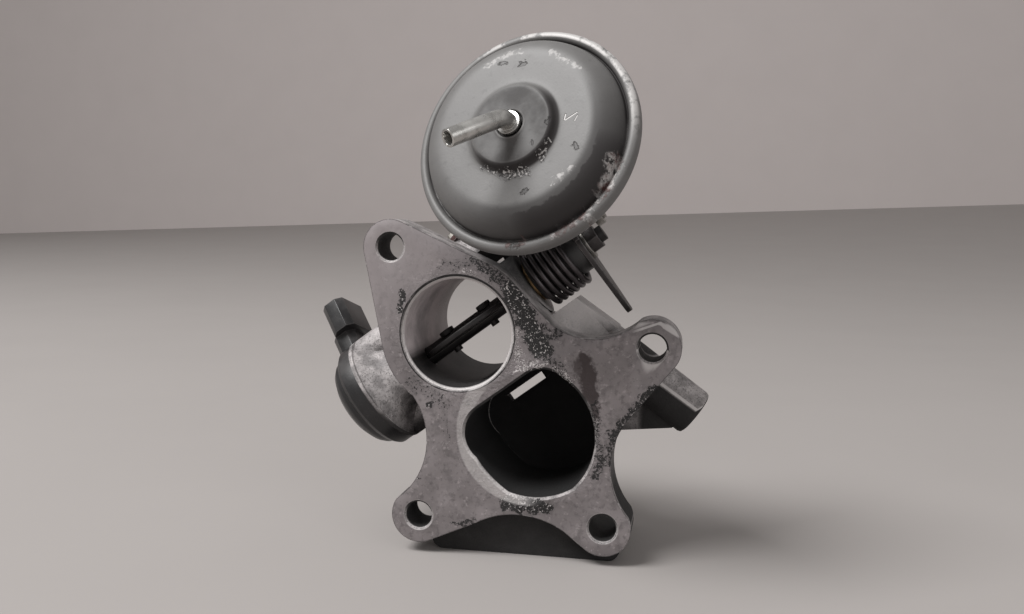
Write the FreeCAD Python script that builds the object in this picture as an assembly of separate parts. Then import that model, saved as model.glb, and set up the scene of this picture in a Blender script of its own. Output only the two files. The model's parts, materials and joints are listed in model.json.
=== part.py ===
import FreeCAD, Part
import math
import os

# Engine shut-off valve: a cast body with a vacuum-closed butterfly flap in a round air bore,
# a D-shaped second port beside it, and a sensor on the far end of the flap shaft.
# Millimetres, +Z up. The origin is where the bore axis meets the flange face.
# +Y runs along the bore, away from the flange face, and +X is to the right seen from the front.

V = FreeCAD.Vector

# Flange and its four ears
flange_thick = 14.0
ear_radius = 9.2
ear_hole_radius = 4.5
hole_chamfer = 0.6
bolt_head_room = 7.5
ear_left_top = (-22.8, 27.8)
ear_right = (63.3, -2.5)
ear_left_bottom = (-12.7, -61.5)
ear_right_bottom = (48.8, -61.7)

# Air bore and its barrel
bore_radius = 18.0
bore_length = 56.0
bore_lead_in = 1.1
flange_ring_radius = 25.2
barrel_radius = 23.0
spigot_radius = 21.4
spigot_length = 13.0
groove_depth = 1.1
groove_width = 2.4
groove_inset = 1.6

# D-shaped port and the chamber behind it
port_centre = (24.2, -31.8)
port_radius = 21.5
port_offset = 23.8
port_side_start = -9.9
port_side_end = 11.7
port_bulge = 1.3
port_flat = 1.9
port_chamfer = 0.8
port_wall = 4.4
port_depth = 38.0
slit_length = 15.4
slit_width = 3.0
slit_inset = 3.3
slit_shift = -1.1

# Sump under the chamber, which the valve stands on
sump_left = -9.5
sump_right = 54.0
sump_bottom = -74.4
sump_height = 15.0
sump_front = 6.0
sump_back = 47.0
pocket_lefts = (1.0, 21.5)
pocket_width = 15.5
pocket_height = 10.0
pocket_floor = 17.0
pocket_corner = 2.5
foot_thick = 4.4

# Neck at the lower right
neck_radius = 8.2
neck_rounding = 1.4
neck_bore_radius = 5.3
neck_bore_depth = 24.0
neck_end = (77.3, -27.8)
neck_depth_y = 26.0
neck_fall_deg = 36.4
neck_length = 44.0
web_thick = 5.0

# Flap shaft, which crosses the bore
shaft_tilt_deg = 36.6
shaft_y = 20.0
shaft_radius = 3.2
shaft_thread_radius = 2.75
shaft_flat = 2.2
shaft_end = 56.5
shaft_tail = -45.2
running_gap = 0.05
disc_thick = 1.6
disc_gap = 0.25
slot_play = 0.05
flap_close_deg = 75.0
flap_screw_pitch = 16.0
flap_screw_radius = 1.5
flap_screw_head_radius = 2.7
flap_screw_head = 1.9
flap_screw_seat = 2.5

# Drive-side boss, bush and seals
boss_radius = 12.0
boss_end = 27.0
seal_start = 20.0
seal_length = 2.4
bush_radius = 5.2
sensor_bush_end = -30.0
bush_flange_radius = 7.4
bush_flange_thick = 1.0
sleeve_radius = 8.0
sleeve_gap = 0.1

# Lever, its slot and nut
lever_start = 47.5
lever_thick = 1.8
lever_hub_radius = 8.2
lever_arm_radius = 6.2
lever_blade_length = 26.8
lever_blade_tip = 5.4
lever_blade_rounding = 1.5
slot_half_width = 2.45
slot_end_play = 0.45
washer_radius = 5.6
washer_thick = 1.0
nut_across = 8.0
nut_height = 4.0

# Return spring round the sleeve
spring_radius = 10.4
spring_wire = 2.0
spring_turns = 6.25
spring_start = 29.4
spring_end = 44.4
spring_foot_deg = 60.0
spring_leg = 4.6
tab_gap = 0.3
tab_thick = 2.0
tab_width = 3.6

# Actuator: its place beside the shaft, the rod and the link pin
actuator_lean_deg = 25.0
rod_offset = 12.5
actuator_station = 56.7
rod_travel_ratio = 1.12
rod_radius = 2.5
rod_eye_radius = 4.6
rod_eye_thick = 3.0
rod_head_radius = 4.4
rod_head_thick = 1.2
pin_radius = 2.0
pin_head_radius = 3.1
pin_head_thick = 1.2
pin_tip = 46.0
clip_radius = 3.7
clip_thick = 0.6

# Actuator can
can_radius = 35.0
rim_station = -51.2
sheet = 1.0
dome_base_radius = 31.2
dome_height = 9.0
dome_top_radius = 25.6
step_radius = 14.0
step_height = 0.4
boss_can_radius = 12.7
boss_can_height = 2.4
rear_depth = 18.0
rear_base_radius = 30.0
rear_wall_fall = 1.2
crimp_share = 0.64
roll_share = 0.6
rear_floor_radius = 24.0
diaphragm_thick = 1.2
plate_radius = 21.5
plate_thick = 1.2
plate_lip = 1.4
plate_clear = 1.0
can_spring_radius = 14.0
can_spring_wire = 1.8
can_spring_turns = 3.6

# Vacuum nipple
nipple_radius = 2.6
nipple_wall = 0.7
nipple_stub = 4.2
nipple_leg = 17.8
nipple_bend_radius = 5.5
nipple_bend_deg = 47.0
nipple_swing_deg = 18.5
nipple_seat = 2.0

# Bracket that carries the can
bracket_thick = 2.0
stud_pitch = 26.0
stud_radius = 2.5
stud_length = 9.0
stud_nut_across = 8.0
stud_nut_height = 4.0
bracket_leg_height = 24.2
bracket_leg_root = 6.0
bracket_leg_front = 9.0
bracket_screw_radius = 2.5
bracket_screw_depth = 6.5
bracket_screw_across = 8.0
bracket_screw_head = 3.5
bracket_screw_stations = (13.5, 22.5)
bracket_screw_z = -6.0
pad_size = (18.0, 9.0, 13.0)
rod_bush_radius = 5.0
rod_bush_length = 8.0

# Shaft position sensor
collar_face = -38.5
collar_thick = 1.3
collar_flare = 6.5
collar_radius = 19.6
lobe_radius = 6.2
lobe_end = -20.0
sensor_screw_pitch = 27.0
sensor_screw_radius = 1.5
sensor_screw_head_radius = 2.8
sensor_screw_head = 2.6
sensor_screw_socket = 2.5
sensor_screw_grip = 7.0
sensor_disc_thick = 6.0
sensor_cap_radius = 17.0
sensor_depth = 11.5
sensor_cavity_radius = 9.2
sensor_lid_step = 1.0
sensor_pilot_radius = 8.4
sensor_pilot_length = 3.0
sensor_floor = 3.0
sensor_lid_thick = 1.6
oring_radius = 7.8
oring_wire = 1.2
rotor_radius = 8.4
board_thick = 1.4
sensor_turn_deg = 25.0
plug_size = (17.0, 9.0)
plug_bevel = 2.2
plug_wall = 1.3
plug_foot = 25.8
plug_top = 38.0
plug_socket_depth = 9.0
plug_neck_size = (11.0, 9.0)
contact_size = (1.2, 0.8)
contact_pitch = 3.0
contact_length = 6.0

# Places worked out from the sizes above
plug_station = collar_face - plug_size[1] / 2.0 + 2.4
half_swing = math.radians(flap_close_deg / 2.0)
rod_ratio = rod_travel_ratio * rod_offset
rod_rest = rod_ratio * half_swing
rod_travel = rod_ratio * math.radians(flap_close_deg)
rear_floor = rim_station + rear_depth
bracket_back = rear_floor + bracket_thick
plate_front = rear_floor - sheet - plate_clear - plate_lip - plate_thick
dome_top = rim_station - dome_height
can_boss_top = dome_top - step_height - boss_can_height

# Frames: along the shaft (x is +Y, y is up-left, z is along the shaft), the same one turned for
# the sensor, and along the actuator rod (z points from the can to the lever, x along the shaft)
SHAFT = (FreeCAD.Placement(V(0, shaft_y, 0), FreeCAD.Rotation(V(0, 1, 0), -shaft_tilt_deg))
         * FreeCAD.Placement(V(0, 0, 0), FreeCAD.Rotation(V(1, 1, 1), 120)))
SENSOR = SHAFT * FreeCAD.Placement(V(0, 0, 0), FreeCAD.Rotation(V(0, 0, 1), -sensor_turn_deg))
lean = math.radians(actuator_lean_deg)
lean_cos, lean_sin = math.cos(lean), math.sin(lean)
ROD = SHAFT * FreeCAD.Placement(
    V(rod_offset * lean_sin, rod_offset * lean_cos, actuator_station),
    FreeCAD.Rotation(V(0, 0, 1), V(-lean_sin, -lean_cos, 0), V(lean_cos, -lean_sin, 0), "ZXY"))


def placed(shape, frame):
    """A copy of a shape, moved from a local frame to the valve's own."""
    moved = shape.copy()
    moved.Placement = frame.multiply(moved.Placement)
    return moved


def disc(radius, start, end, x=0.0, y=0.0):
    """A round bar along local z between two stations."""
    return Part.makeCylinder(radius, end - start, V(x, y, start))


def ring(outer, inner, start, end, x=0.0, y=0.0):
    return disc(outer, start, end, x, y).cut(disc(inner, start, end, x, y))


def turned(points):
    """A solid turned round local z from (radius, station) points."""
    corners = [V(r, 0, z) for r, z in points]
    face = Part.Face(Part.makePolygon(corners + corners[:1]))
    return face.revolve(V(0, 0, 0), V(0, 0, 1), 360)


def along_bore(radius, start, end, x=0.0, z=0.0):
    """A round bar along the valve's Y."""
    return Part.makeCylinder(radius, end - start, V(x, start, z), V(0, 1, 0))


def fused(shapes):
    return shapes[0].fuse(shapes[1:]).removeSplitter()


def polar(centre, radius, degrees):
    angle = math.radians(degrees)
    return (centre[0] + radius * math.cos(angle), centre[1] + radius * math.sin(angle))


def outline(steps, level=0.0, upright=True):
    """A closed wire from steps: a point draws a line, a pair of points draws an arc through the
    first to the second. Upright wires lie across the bore, others lie flat in local x and y."""
    def at(point):
        return V(point[0], level, point[1]) if upright else V(point[0], point[1], level)
    edges = []
    last = steps[0]
    for step in steps[1:] + steps[:1]:
        if isinstance(step[0], tuple):
            edges.append(Part.Arc(at(last), at(step[0]), at(step[1])).toShape())
            last = step[1]
        elif step != last:
            edges.append(Part.makeLine(at(last), at(step)))
            last = step
    return Part.Wire(edges)


def slab(wire, start, end, upright=True):
    """A wire's face, thickened from one level to another."""
    lift = V(0, start, 0) if upright else V(0, 0, start)
    run = V(0, end - start, 0) if upright else V(0, 0, end - start)
    face = Part.Face(wire)
    face.translate(lift)
    return face.extrude(run)


def rounded_box(x0, x1, y0, y1, z0, z1, corner, axis):
    """A box whose four edges along one axis are rounded."""
    box = Part.makeBox(x1 - x0, y1 - y0, z1 - z0, V(x0, y0, z0))
    edges = [e for e in box.Edges if abs(abs(e.tangentAt(e.FirstParameter).dot(axis)) - 1) < 1e-6]
    return box.makeFillet(corner, edges)


def hexagon(across, start, end, x=0.0, y=0.0):
    reach = across / math.sqrt(3.0)
    corners = [V(x + reach * math.cos(math.radians(60 * i)), y + reach * math.sin(math.radians(60 * i)),
                 start) for i in range(7)]
    return Part.Face(Part.makePolygon(corners)).extrude(V(0, 0, end - start))


def beside_shaft(along, above):
    """A point of the flange's plane, given along the shaft and square to it."""
    tilt = math.radians(shaft_tilt_deg)
    return (along * math.cos(tilt) - above * math.sin(tilt), along * math.sin(tilt) + above * math.cos(tilt))


def ear_arc(centre, first, last):
    """The steps of an ear's round end, between two directions in degrees."""
    middle = polar(centre, ear_radius, (first + last) / 2.0)
    return [polar(centre, ear_radius, first), (middle, polar(centre, ear_radius, last))]


def flange_outline():
    """The four-eared flange, seen from the front, counter-clockwise from the upper left ear."""
    waist_left = ear_left_bottom[0] + 2.6
    waist_right = ear_right_bottom[0] + 2.2
    arch_x = (ear_left_bottom[0] + ear_right_bottom[0]) / 2.0 + 4.0
    arch_z = ear_left_bottom[1] + 2.4
    saddle = (ear_right[0] - 19.8, ear_right[1] + 2.2)
    steps = ear_arc(ear_left_top, 64.3, 191.5)
    steps.append(polar((0, 0), flange_ring_radius + 0.7, 194.5))
    steps.append((polar((0, 0), flange_ring_radius + 0.7, 214), polar((0, 0), flange_ring_radius + 0.7, 235)))
    steps.append(((waist_left, -38.2), polar(ear_left_bottom, ear_radius, 146)))
    steps += ear_arc(ear_left_bottom, 146, 295)[1:]
    steps.append((arch_x - 15.6, arch_z - 4.0))
    steps.append(((arch_x, arch_z), (arch_x + 14.4, arch_z - 4.6)))
    steps += ear_arc(ear_right_bottom, 230, 385)
    steps.append(((waist_right, -41.0), (ear_right[0] - 6.8, ear_right[1] - 23.0)))
    steps += ear_arc(ear_right, -39, 116)
    steps.append((saddle, (ear_right[0] - 32.6, ear_right[1] + 6.9)))
    steps.append(polar((0, 0), flange_ring_radius, 49))
    steps.append((polar((0, 0), flange_ring_radius, 55), polar((0, 0), flange_ring_radius, 62)))
    return outline(steps)


def port_outline():
    """The D-shaped port: a straight side along the shaft, a round right side and a flatter lower left."""
    def at(degrees, out=0.0):
        return polar(port_centre, port_radius + out, degrees)
    low = beside_shaft(port_side_start, -port_offset)
    high = beside_shaft(port_side_end, -port_offset)
    return outline([low, high, (at(77, 0.2), at(60)), (at(5), at(-50, port_bulge)), (at(-80), at(-108, -0.5)),
                    (at(-130, -port_flat), at(-152, -port_flat)), (at(-176), low)])


def port_mouth(port):
    """The chamfer round the port's front edge."""
    outer = port.makeOffset2D(port_chamfer, 2)
    inner = port.copy()
    inner.translate(V(0, port_chamfer, 0))
    return Part.makeLoft([outer, inner], True, True)


def neck_frame():
    """Along the neck, with its open end at zero and its root at minus its length."""
    fall = math.radians(neck_fall_deg)
    run = V(math.cos(fall), 0, -math.sin(fall))
    return FreeCAD.Placement(V(neck_end[0], neck_depth_y, neck_end[1]), FreeCAD.Rotation(V(0, 0, 1), run))


def sump_outline():
    """The sump's section: flat foot, rounded lower corners, and sides that close on the chamber."""
    high = sump_bottom + sump_height
    return outline([
        (sump_left + 4.0, sump_bottom), (sump_right - 4.0, sump_bottom),
        ((sump_right - 0.9, sump_bottom + 1.4), (sump_right, sump_bottom + 5.0)), (sump_right - 1.5, high),
        (port_centre[0] + 0.8 * port_radius, port_centre[1] - 0.7 * port_radius),
        (port_centre[0] - 0.7 * port_radius, port_centre[1] - 0.5 * port_radius),
        (sump_left + 2.0, high), (sump_left, sump_bottom + 5.0),
        ((sump_left + 0.9, sump_bottom + 1.4), (sump_left + 4.0, sump_bottom))])


def port_slit():
    """The slit through the chamber's back wall, beside its straight side."""
    box = Part.makeBox(slit_length, 4 * port_wall, slit_width,
                       V(-slit_length / 2.0, port_depth - port_wall, -slit_width / 2.0))
    box.rotate(V(0, 0, 0), V(0, 1, 0), -shaft_tilt_deg)
    middle = (port_side_start + port_side_end) / 2.0 + slit_shift
    x, z = beside_shaft(middle, -port_offset - slit_inset - slit_width / 2.0)
    box.translate(V(x, 0, z))
    return box


def bracket_pad():
    """A raised pad on the barrel for the bracket's two screws, in the rod frame."""
    top = rod_offset - bracket_leg_height
    centre = sum(bracket_screw_stations) / 2.0 - actuator_station
    return Part.makeBox(*pad_size, V(centre - pad_size[0] / 2.0, top, bracket_screw_z - pad_size[2] / 2.0))


def spring_post():
    """The cast post that holds the return spring's fixed leg, in the shaft frame."""
    near = spring_wire / 2.0 + tab_gap
    post = Part.makeBox(spring_leg + 3.4, 3.0, spring_start - boss_end + 5.0,
                        V(spring_radius + spring_wire / 2.0 + 0.4, near, boss_end - 4.0))
    post.rotate(V(0, 0, 0), V(0, 0, 1), spring_foot_deg)
    return post


def make_housing():
    """The casting: flange, barrel, chamber, sump, shaft bosses, sensor collar and neck."""
    flange = slab(flange_outline(), 0, flange_thick)
    barrel = along_bore(barrel_radius, 0, bore_length - spigot_length)
    spigot = along_bore(spigot_radius, 0, bore_length)
    port = port_outline()
    chamber = slab(port.makeOffset2D(port_wall), 0, port_depth + port_wall)
    sump = slab(sump_outline(), sump_front, sump_back)
    neck = placed(turned([(0, -neck_length), (neck_radius, -neck_length), (neck_radius, -neck_rounding),
                          (neck_radius - 0.3 * neck_rounding, -0.3 * neck_rounding),
                          (neck_radius - neck_rounding, 0), (0, 0)]), neck_frame())
    web = slab(outline([(42.0, -24.0), (48.5, -34.5), (69.5, -32.5), (76.0, -28.0), (44.0, -4.0)]),
               neck_depth_y - web_thick / 2.0, neck_depth_y + web_thick / 2.0)
    root = slab(outline([(30.0, -10.0), (34.0, 2.0), (46.0, 3.0), (54.0, -5.0), (48.5, -28.0)]),
                flange_thick - 1.0, neck_depth_y + neck_radius - 1.5)
    under_spring = -spring_radius - spring_wire / 2.0 - 1.4
    saddle_web = slab(outline([beside_shaft(boss_end - 6.0, -4.0), beside_shaft(boss_end - 0.2, under_spring),
                               beside_shaft(boss_end + 10.0, under_spring), beside_shaft(42.5, -29.0),
                               (34.0, -3.0)]), flange_thick - 1.0, shaft_y + 6.0)
    drive_boss = placed(disc(boss_radius, 0, boss_end), SHAFT)
    flare = collar_face + collar_thick
    neck_in = boss_radius - 1.0
    sensor_boss = placed(turned([(0, 0), (neck_in, 0), (neck_in, flare + 2 * collar_flare),
                                 (boss_radius + 1.2, flare + collar_flare), (collar_radius - 1.0, flare),
                                 (0, flare)]), SHAFT)
    collar = placed(disc(collar_radius, collar_face, collar_face + collar_thick), SHAFT)
    lobes = [placed(disc(lobe_radius, collar_face, lobe_end, 0, side * sensor_screw_pitch / 2.0), SHAFT)
             for side in (1, -1)]
    body = fused([flange, barrel, spigot, chamber, sump, neck, web, root, saddle_web,
                  drive_boss, sensor_boss, collar, placed(bracket_pad(), ROD),
                  placed(spring_post(), SHAFT)] + lobes)
    return body.cut(housing_cuts(port)).removeSplitter()


def housing_cuts(port):
    """Everything that is bored, cored or drilled out of the casting."""
    cuts = [along_bore(bore_radius, -1, bore_length + 1)]
    cuts.append(Part.makeCone(bore_radius + bore_lead_in + 0.5, bore_radius, bore_lead_in + 0.5,
                              V(0, -0.5, 0), V(0, 1, 0)))
    for x, z in (ear_left_bottom, ear_right_bottom):
        cuts.append(along_bore(bolt_head_room, flange_thick, sump_back + 1, x, z))
    for x, z in (ear_left_top, ear_right, ear_left_bottom, ear_right_bottom):
        cuts.append(along_bore(ear_hole_radius, -1, flange_thick + 1, x, z))
        cuts.append(Part.makeCone(ear_hole_radius + hole_chamfer + 0.5, ear_hole_radius,
                                  hole_chamfer + 0.5, V(x, -0.5, z), V(0, 1, 0)))
    groove_end = bore_length - groove_inset
    cuts.append(along_bore(barrel_radius, groove_end - groove_width, groove_end).cut(
        along_bore(spigot_radius - groove_depth, groove_end - groove_width, groove_end)))
    cuts.append(slab(port, -1, port_depth))
    cuts.append(port_mouth(port))
    pocket_low = sump_bottom + foot_thick
    for left in pocket_lefts:
        cuts.append(rounded_box(left, left + pocket_width, pocket_floor, sump_back + 1, pocket_low,
                                pocket_low + pocket_height, pocket_corner, V(0, 1, 0)))
    cuts.append(port_slit())
    cuts.append(placed(disc(neck_bore_radius, -neck_bore_depth, 1), neck_frame()))
    through = shaft_radius + 0.3
    cuts.append(placed(disc(through, collar_face, boss_end + 1), SHAFT))
    cuts.append(placed(disc(bush_radius, seal_start, boss_end + 1), SHAFT))
    cuts.append(placed(disc(bush_radius, collar_face - 1, -seal_start), SHAFT))
    cuts.append(placed(disc(sensor_pilot_radius + running_gap, collar_face - 1,
                            collar_face + sensor_pilot_length + 0.3), SHAFT))
    for side in (1, -1):
        cuts.append(placed(disc(sensor_screw_radius, collar_face - 1, collar_face + sensor_screw_grip + 1,
                                0, side * sensor_screw_pitch / 2.0), SHAFT))
    for station in bracket_screw_stations:
        top = rod_offset - bracket_leg_height
        cuts.append(placed(Part.makeCylinder(bracket_screw_radius, bracket_screw_depth + 0.5,
                                             V(station - actuator_station, top - 0.01, bracket_screw_z),
                                             V(0, 1, 0)), ROD))
    return cuts


def make_bush(mirror):
    """A flanged bush for one end of the shaft; the sensor side has no flange."""
    inner = shaft_radius + running_gap
    start = seal_start + seal_length
    if mirror:
        return ring(bush_radius, inner, sensor_bush_end, -start)
    return ring(bush_radius, inner, start, boss_end).fuse(
        ring(bush_flange_radius, inner, boss_end, boss_end + bush_flange_thick)).removeSplitter()


def make_seals():
    """One lip seal inside each bush."""
    inner = shaft_radius + running_gap
    return Part.makeCompound([ring(bush_radius, inner, seal_start, seal_start + seal_length),
                              ring(bush_radius, inner, -seal_start - seal_length, -seal_start)])


def flatted(radius, half_flat, start, end):
    """A round bar with two flats."""
    box = Part.makeBox(4 * radius, 2 * half_flat, end - start, V(-2 * radius, -half_flat, start))
    return disc(radius, start, end).common(box)


def flap_screw_stations():
    return (-flap_screw_pitch / 2.0, flap_screw_pitch / 2.0)


def make_shaft():
    """The flap shaft: slotted for the disc, with a flatted thread at the lever end."""
    shaft = disc(shaft_radius, shaft_tail, lever_start).fuse(
        flatted(shaft_thread_radius, shaft_flat, lever_start, lever_start + lever_thick)).fuse(
        disc(shaft_thread_radius, lever_start + lever_thick, shaft_end)).removeSplitter()
    slot_reach = bore_radius + 0.2
    slot = Part.makeBox(3 * shaft_radius, disc_thick + 2 * slot_play, 2 * slot_reach,
                        V(-1.5 * shaft_radius, -disc_thick / 2.0 - slot_play, -slot_reach))
    shaft = shaft.cut(slot)
    for station in flap_screw_stations():
        hole = Part.makeCylinder(flap_screw_radius, 4 * shaft_radius,
                                 V(0, -2 * shaft_radius, station), V(0, 1, 0))
        spot = Part.makeCylinder(flap_screw_head_radius + 0.2, shaft_radius,
                                 V(0, flap_screw_seat, station), V(0, 1, 0))
        shaft = shaft.cut([hole, spot])
    return shaft


def make_flap():
    """The butterfly disc, which lies along the bore when the valve is open."""
    radius = bore_radius - disc_gap
    flap = Part.makeCylinder(radius, disc_thick, V(0, -disc_thick / 2.0, 0), V(0, 1, 0))
    holes = [Part.makeCylinder(flap_screw_radius, 2 * disc_thick, V(0, -disc_thick, station), V(0, 1, 0))
             for station in flap_screw_stations()]
    return flap.cut(holes)


def make_flap_screws():
    """Two slotted screws through the shaft and the disc, their tails staked."""
    screws = []
    for station in flap_screw_stations():
        shank = Part.makeCylinder(flap_screw_radius, flap_screw_seat + shaft_radius + 1.2,
                                  V(0, -shaft_radius - 1.2, station), V(0, 1, 0))
        head = Part.makeCylinder(flap_screw_head_radius, flap_screw_head, V(0, flap_screw_seat, station),
                                 V(0, 1, 0))
        cut = Part.makeBox(0.8, 0.9, 2 * flap_screw_head_radius + 1,
                           V(-0.4, flap_screw_seat + flap_screw_head - 0.8,
                             station - flap_screw_head_radius - 0.5))
        screws.append(shank.fuse(head).removeSplitter().cut(cut))
    return Part.makeCompound(screws)


def make_sleeve():
    """The plastic guide inside the return spring, turning with the lever."""
    return ring(sleeve_radius, shaft_radius, boss_end + bush_flange_thick + sleeve_gap, lever_start)


def slot_direction():
    """The lever slot's direction at rest, in degrees in the shaft frame."""
    return 90.0 - actuator_lean_deg - flap_close_deg / 2.0


def make_lever():
    """The lever: a hub, a slotted arm for the link pin, a long blade and a tab for the spring."""
    end = lever_start + lever_thick
    direction = slot_direction()
    far = rod_offset / math.cos(half_swing)
    middle = (rod_offset + far) / 2.0
    hub = disc(lever_hub_radius, lever_start, end)
    tip = polar((0, 0), middle, direction)
    knob = disc(lever_arm_radius, lever_start, end, *tip)
    arm = Part.makeBox(middle, 2 * lever_arm_radius, lever_thick, V(0, -lever_arm_radius, lever_start))
    arm.rotate(V(0, 0, 0), V(0, 0, 1), direction)
    half_tip, round_end = lever_blade_tip / 2.0, lever_blade_rounding - lever_blade_length
    blade = slab(outline([(lever_hub_radius, 0), (-lever_hub_radius, 0), (-half_tip, round_end),
                          ((-half_tip * 0.7, -lever_blade_length + 0.3), (0, -lever_blade_length)),
                          ((half_tip * 0.7, -lever_blade_length + 0.3), (half_tip, round_end))], 0.0, False),
                 lever_start, end, False)
    lever = fused([hub, knob, arm, blade, spring_tab()])
    low = rod_offset - slot_end_play
    high = far + slot_end_play
    slot = fused([disc(slot_half_width, lever_start - 1, end + 1, low, 0),
                  disc(slot_half_width, lever_start - 1, end + 1, high, 0),
                  Part.makeBox(high - low, 2 * slot_half_width, lever_thick + 2,
                               V(low, -slot_half_width, lever_start - 1))])
    slot.rotate(V(0, 0, 0), V(0, 0, 1), direction)
    return lever.cut([slot, flatted(shaft_thread_radius, shaft_flat, lever_start, end)])


def spring_tip_deg():
    return spring_foot_deg + 360.0 * (spring_turns % 1.0)


def spring_tab():
    """The lever's bent tab, which the spring's moving leg pushes towards open."""
    near = spring_wire / 2.0 + tab_gap
    reach = spring_radius + spring_wire / 2.0 + 0.4
    tab = Part.makeBox(tab_width, tab_thick, lever_start - spring_end + 1.2,
                       V(reach, -near - tab_thick, spring_end - 1.2))
    foot = Part.makeBox(reach + tab_width, tab_thick + 3.0, lever_thick,
                        V(0, -near - tab_thick, lever_start))
    both = tab.fuse(foot)
    both.rotate(V(0, 0, 0), V(0, 0, 1), spring_tip_deg())
    return both


def coil(radius, wire, start, end, turns):
    """A round wire wound right-handed round local z, starting on local x."""
    path = Part.makeHelix((end - start) / turns, end - start, radius)
    path.translate(V(0, 0, start))
    section = Part.Wire(Part.makeCircle(wire / 2.0, V(radius, 0, start), V(0, 1, 0)))
    return Part.Wire(path.Edges).makePipeShell([section], True, True)


def make_return_spring():
    """The torsion spring, with a radial leg at each end."""
    spring = coil(spring_radius, spring_wire, spring_start, spring_end, spring_turns)
    legs = []
    for station, turn in ((spring_start, 0.0), (spring_end, 360.0 * (spring_turns % 1.0))):
        leg = Part.makeCylinder(spring_wire / 2.0, spring_leg, V(spring_radius, 0, station), V(1, 0, 0))
        elbow = Part.makeSphere(spring_wire / 2.0, V(spring_radius, 0, station))
        for piece in (leg, elbow):
            piece.rotate(V(0, 0, 0), V(0, 0, 1), turn)
            legs.append(piece)
    spring = spring.fuse(legs)
    spring.rotate(V(0, 0, 0), V(0, 0, 1), spring_foot_deg)
    return spring


def make_washer():
    start = lever_start + lever_thick
    return ring(washer_radius, shaft_thread_radius, start, start + washer_thick)


def make_nut():
    start = lever_start + lever_thick + washer_thick
    nut = hexagon(nut_across, start, start + nut_height)
    return nut.cut(disc(shaft_thread_radius, start, start + nut_height))


def make_rod():
    """The actuator rod, with a riveted head at the plate and a flattened eye at the lever."""
    head_end = plate_front - diaphragm_thick
    rod = disc(rod_radius, head_end, rod_rest - pin_head_radius - 0.3).fuse(
        disc(rod_head_radius, head_end - rod_head_thick, head_end))
    eye = Part.makeCylinder(rod_eye_radius, rod_eye_thick, V(-rod_eye_thick / 2.0, 0, rod_rest), V(1, 0, 0))
    hole = Part.makeCylinder(pin_radius, 2 * rod_eye_thick, V(-rod_eye_thick, 0, rod_rest), V(1, 0, 0))
    return rod.fuse(eye).removeSplitter().cut(hole)


def make_link_pin():
    """The headed pin through the rod's eye and the lever's slot."""
    tip = pin_tip - actuator_station
    head = rod_eye_thick / 2.0
    pin = Part.makeCylinder(pin_radius, head - tip, V(tip, 0, rod_rest), V(1, 0, 0)).fuse(
        Part.makeCylinder(pin_head_radius, pin_head_thick, V(head, 0, rod_rest), V(1, 0, 0))).removeSplitter()
    groove = make_clip_ring(pin_radius + 1.0)
    return pin.cut(groove)


def make_clip_ring(outer):
    start = pin_tip + 0.5 - actuator_station
    return Part.makeCylinder(outer, clip_thick, V(start, 0, rod_rest), V(1, 0, 0)).cut(
        Part.makeCylinder(pin_radius - 0.5, clip_thick, V(start, 0, rod_rest), V(1, 0, 0)))


def make_clip():
    """The open retaining clip in the pin's groove."""
    start = pin_tip + 0.5 - actuator_station
    gap = Part.makeBox(clip_thick, 1.8, clip_radius + 1, V(start, -0.9, rod_rest))
    return make_clip_ring(clip_radius).cut(gap)


def make_plate():
    """The dished plate that carries the diaphragm."""
    back = plate_front + plate_thick
    plate = ring(plate_radius, rod_radius, plate_front, back).fuse(
        ring(plate_radius, plate_radius - plate_thick, back, back + plate_lip))
    return plate.removeSplitter()


def make_diaphragm():
    """The moulded rubber diaphragm: bead in the rim, rolling wall, and a flat over the plate."""
    t = diaphragm_thick
    wall = plate_radius + 1.4
    roll = wall + roll_share * (rear_base_radius - rear_wall_fall - wall)
    front = plate_front - t
    return turned([(rod_radius, front), (wall, front), (roll, rim_station + 1.2),
                   (rear_base_radius - 0.6, rim_station - t / 2.0), (can_radius - 2.0, rim_station - t / 2.0),
                   (can_radius - 2.0, rim_station + t / 2.0), (rear_base_radius - 1.6, rim_station + t / 2.0),
                   (roll, rim_station + 2.8), (wall + 0.4, plate_front), (rod_radius, plate_front)])


def make_can_spring():
    """The compression spring that holds the plate away from the cover."""
    half = can_spring_wire / 2.0 + 0.2
    return coil(can_spring_radius, can_spring_wire, dome_top + sheet + half,
                plate_front - diaphragm_thick - half, can_spring_turns)


def make_can_front():
    """The pressed cover: crimped rim, domed side, flat ring, step and centre boss."""
    low = rim_station - diaphragm_thick / 2.0
    lip = rim_station + diaphragm_thick / 2.0 + sheet
    boss_root = dome_top - step_height
    outer = [(dome_base_radius, low - sheet), (dome_base_radius - 1.0, low - sheet - 2.6),
             (dome_top_radius + 3.0, dome_top + 2.6), (dome_top_radius + 1.2, dome_top + 0.7),
             (dome_top_radius - 1.0, dome_top), (step_radius + 1.0, dome_top),
             (step_radius, boss_root), (boss_can_radius + 0.6, boss_root),
             (boss_can_radius, boss_root - 0.8), (boss_can_radius - 0.3, can_boss_top + 0.9),
             (boss_can_radius - 1.2, can_boss_top)]
    inner = [(r - sheet * 0.9, z + sheet) for r, z in outer]
    bore = nipple_radius
    crimp = rear_base_radius + crimp_share * (can_radius - sheet - rear_base_radius)
    skin = [(bore, can_boss_top)] + list(reversed(outer))
    skin += [(can_radius - 0.7, low - sheet), (can_radius, low - sheet + 0.7), (can_radius, lip + 0.3),
             (can_radius - 0.7, lip + sheet), (crimp, lip + sheet), (crimp, lip),
             (can_radius - sheet, lip), (can_radius - sheet, low)]
    skin += [(dome_base_radius - 0.4, low)] + inner[1:] + [(bore, can_boss_top + sheet)]
    return turned(skin)


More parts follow.
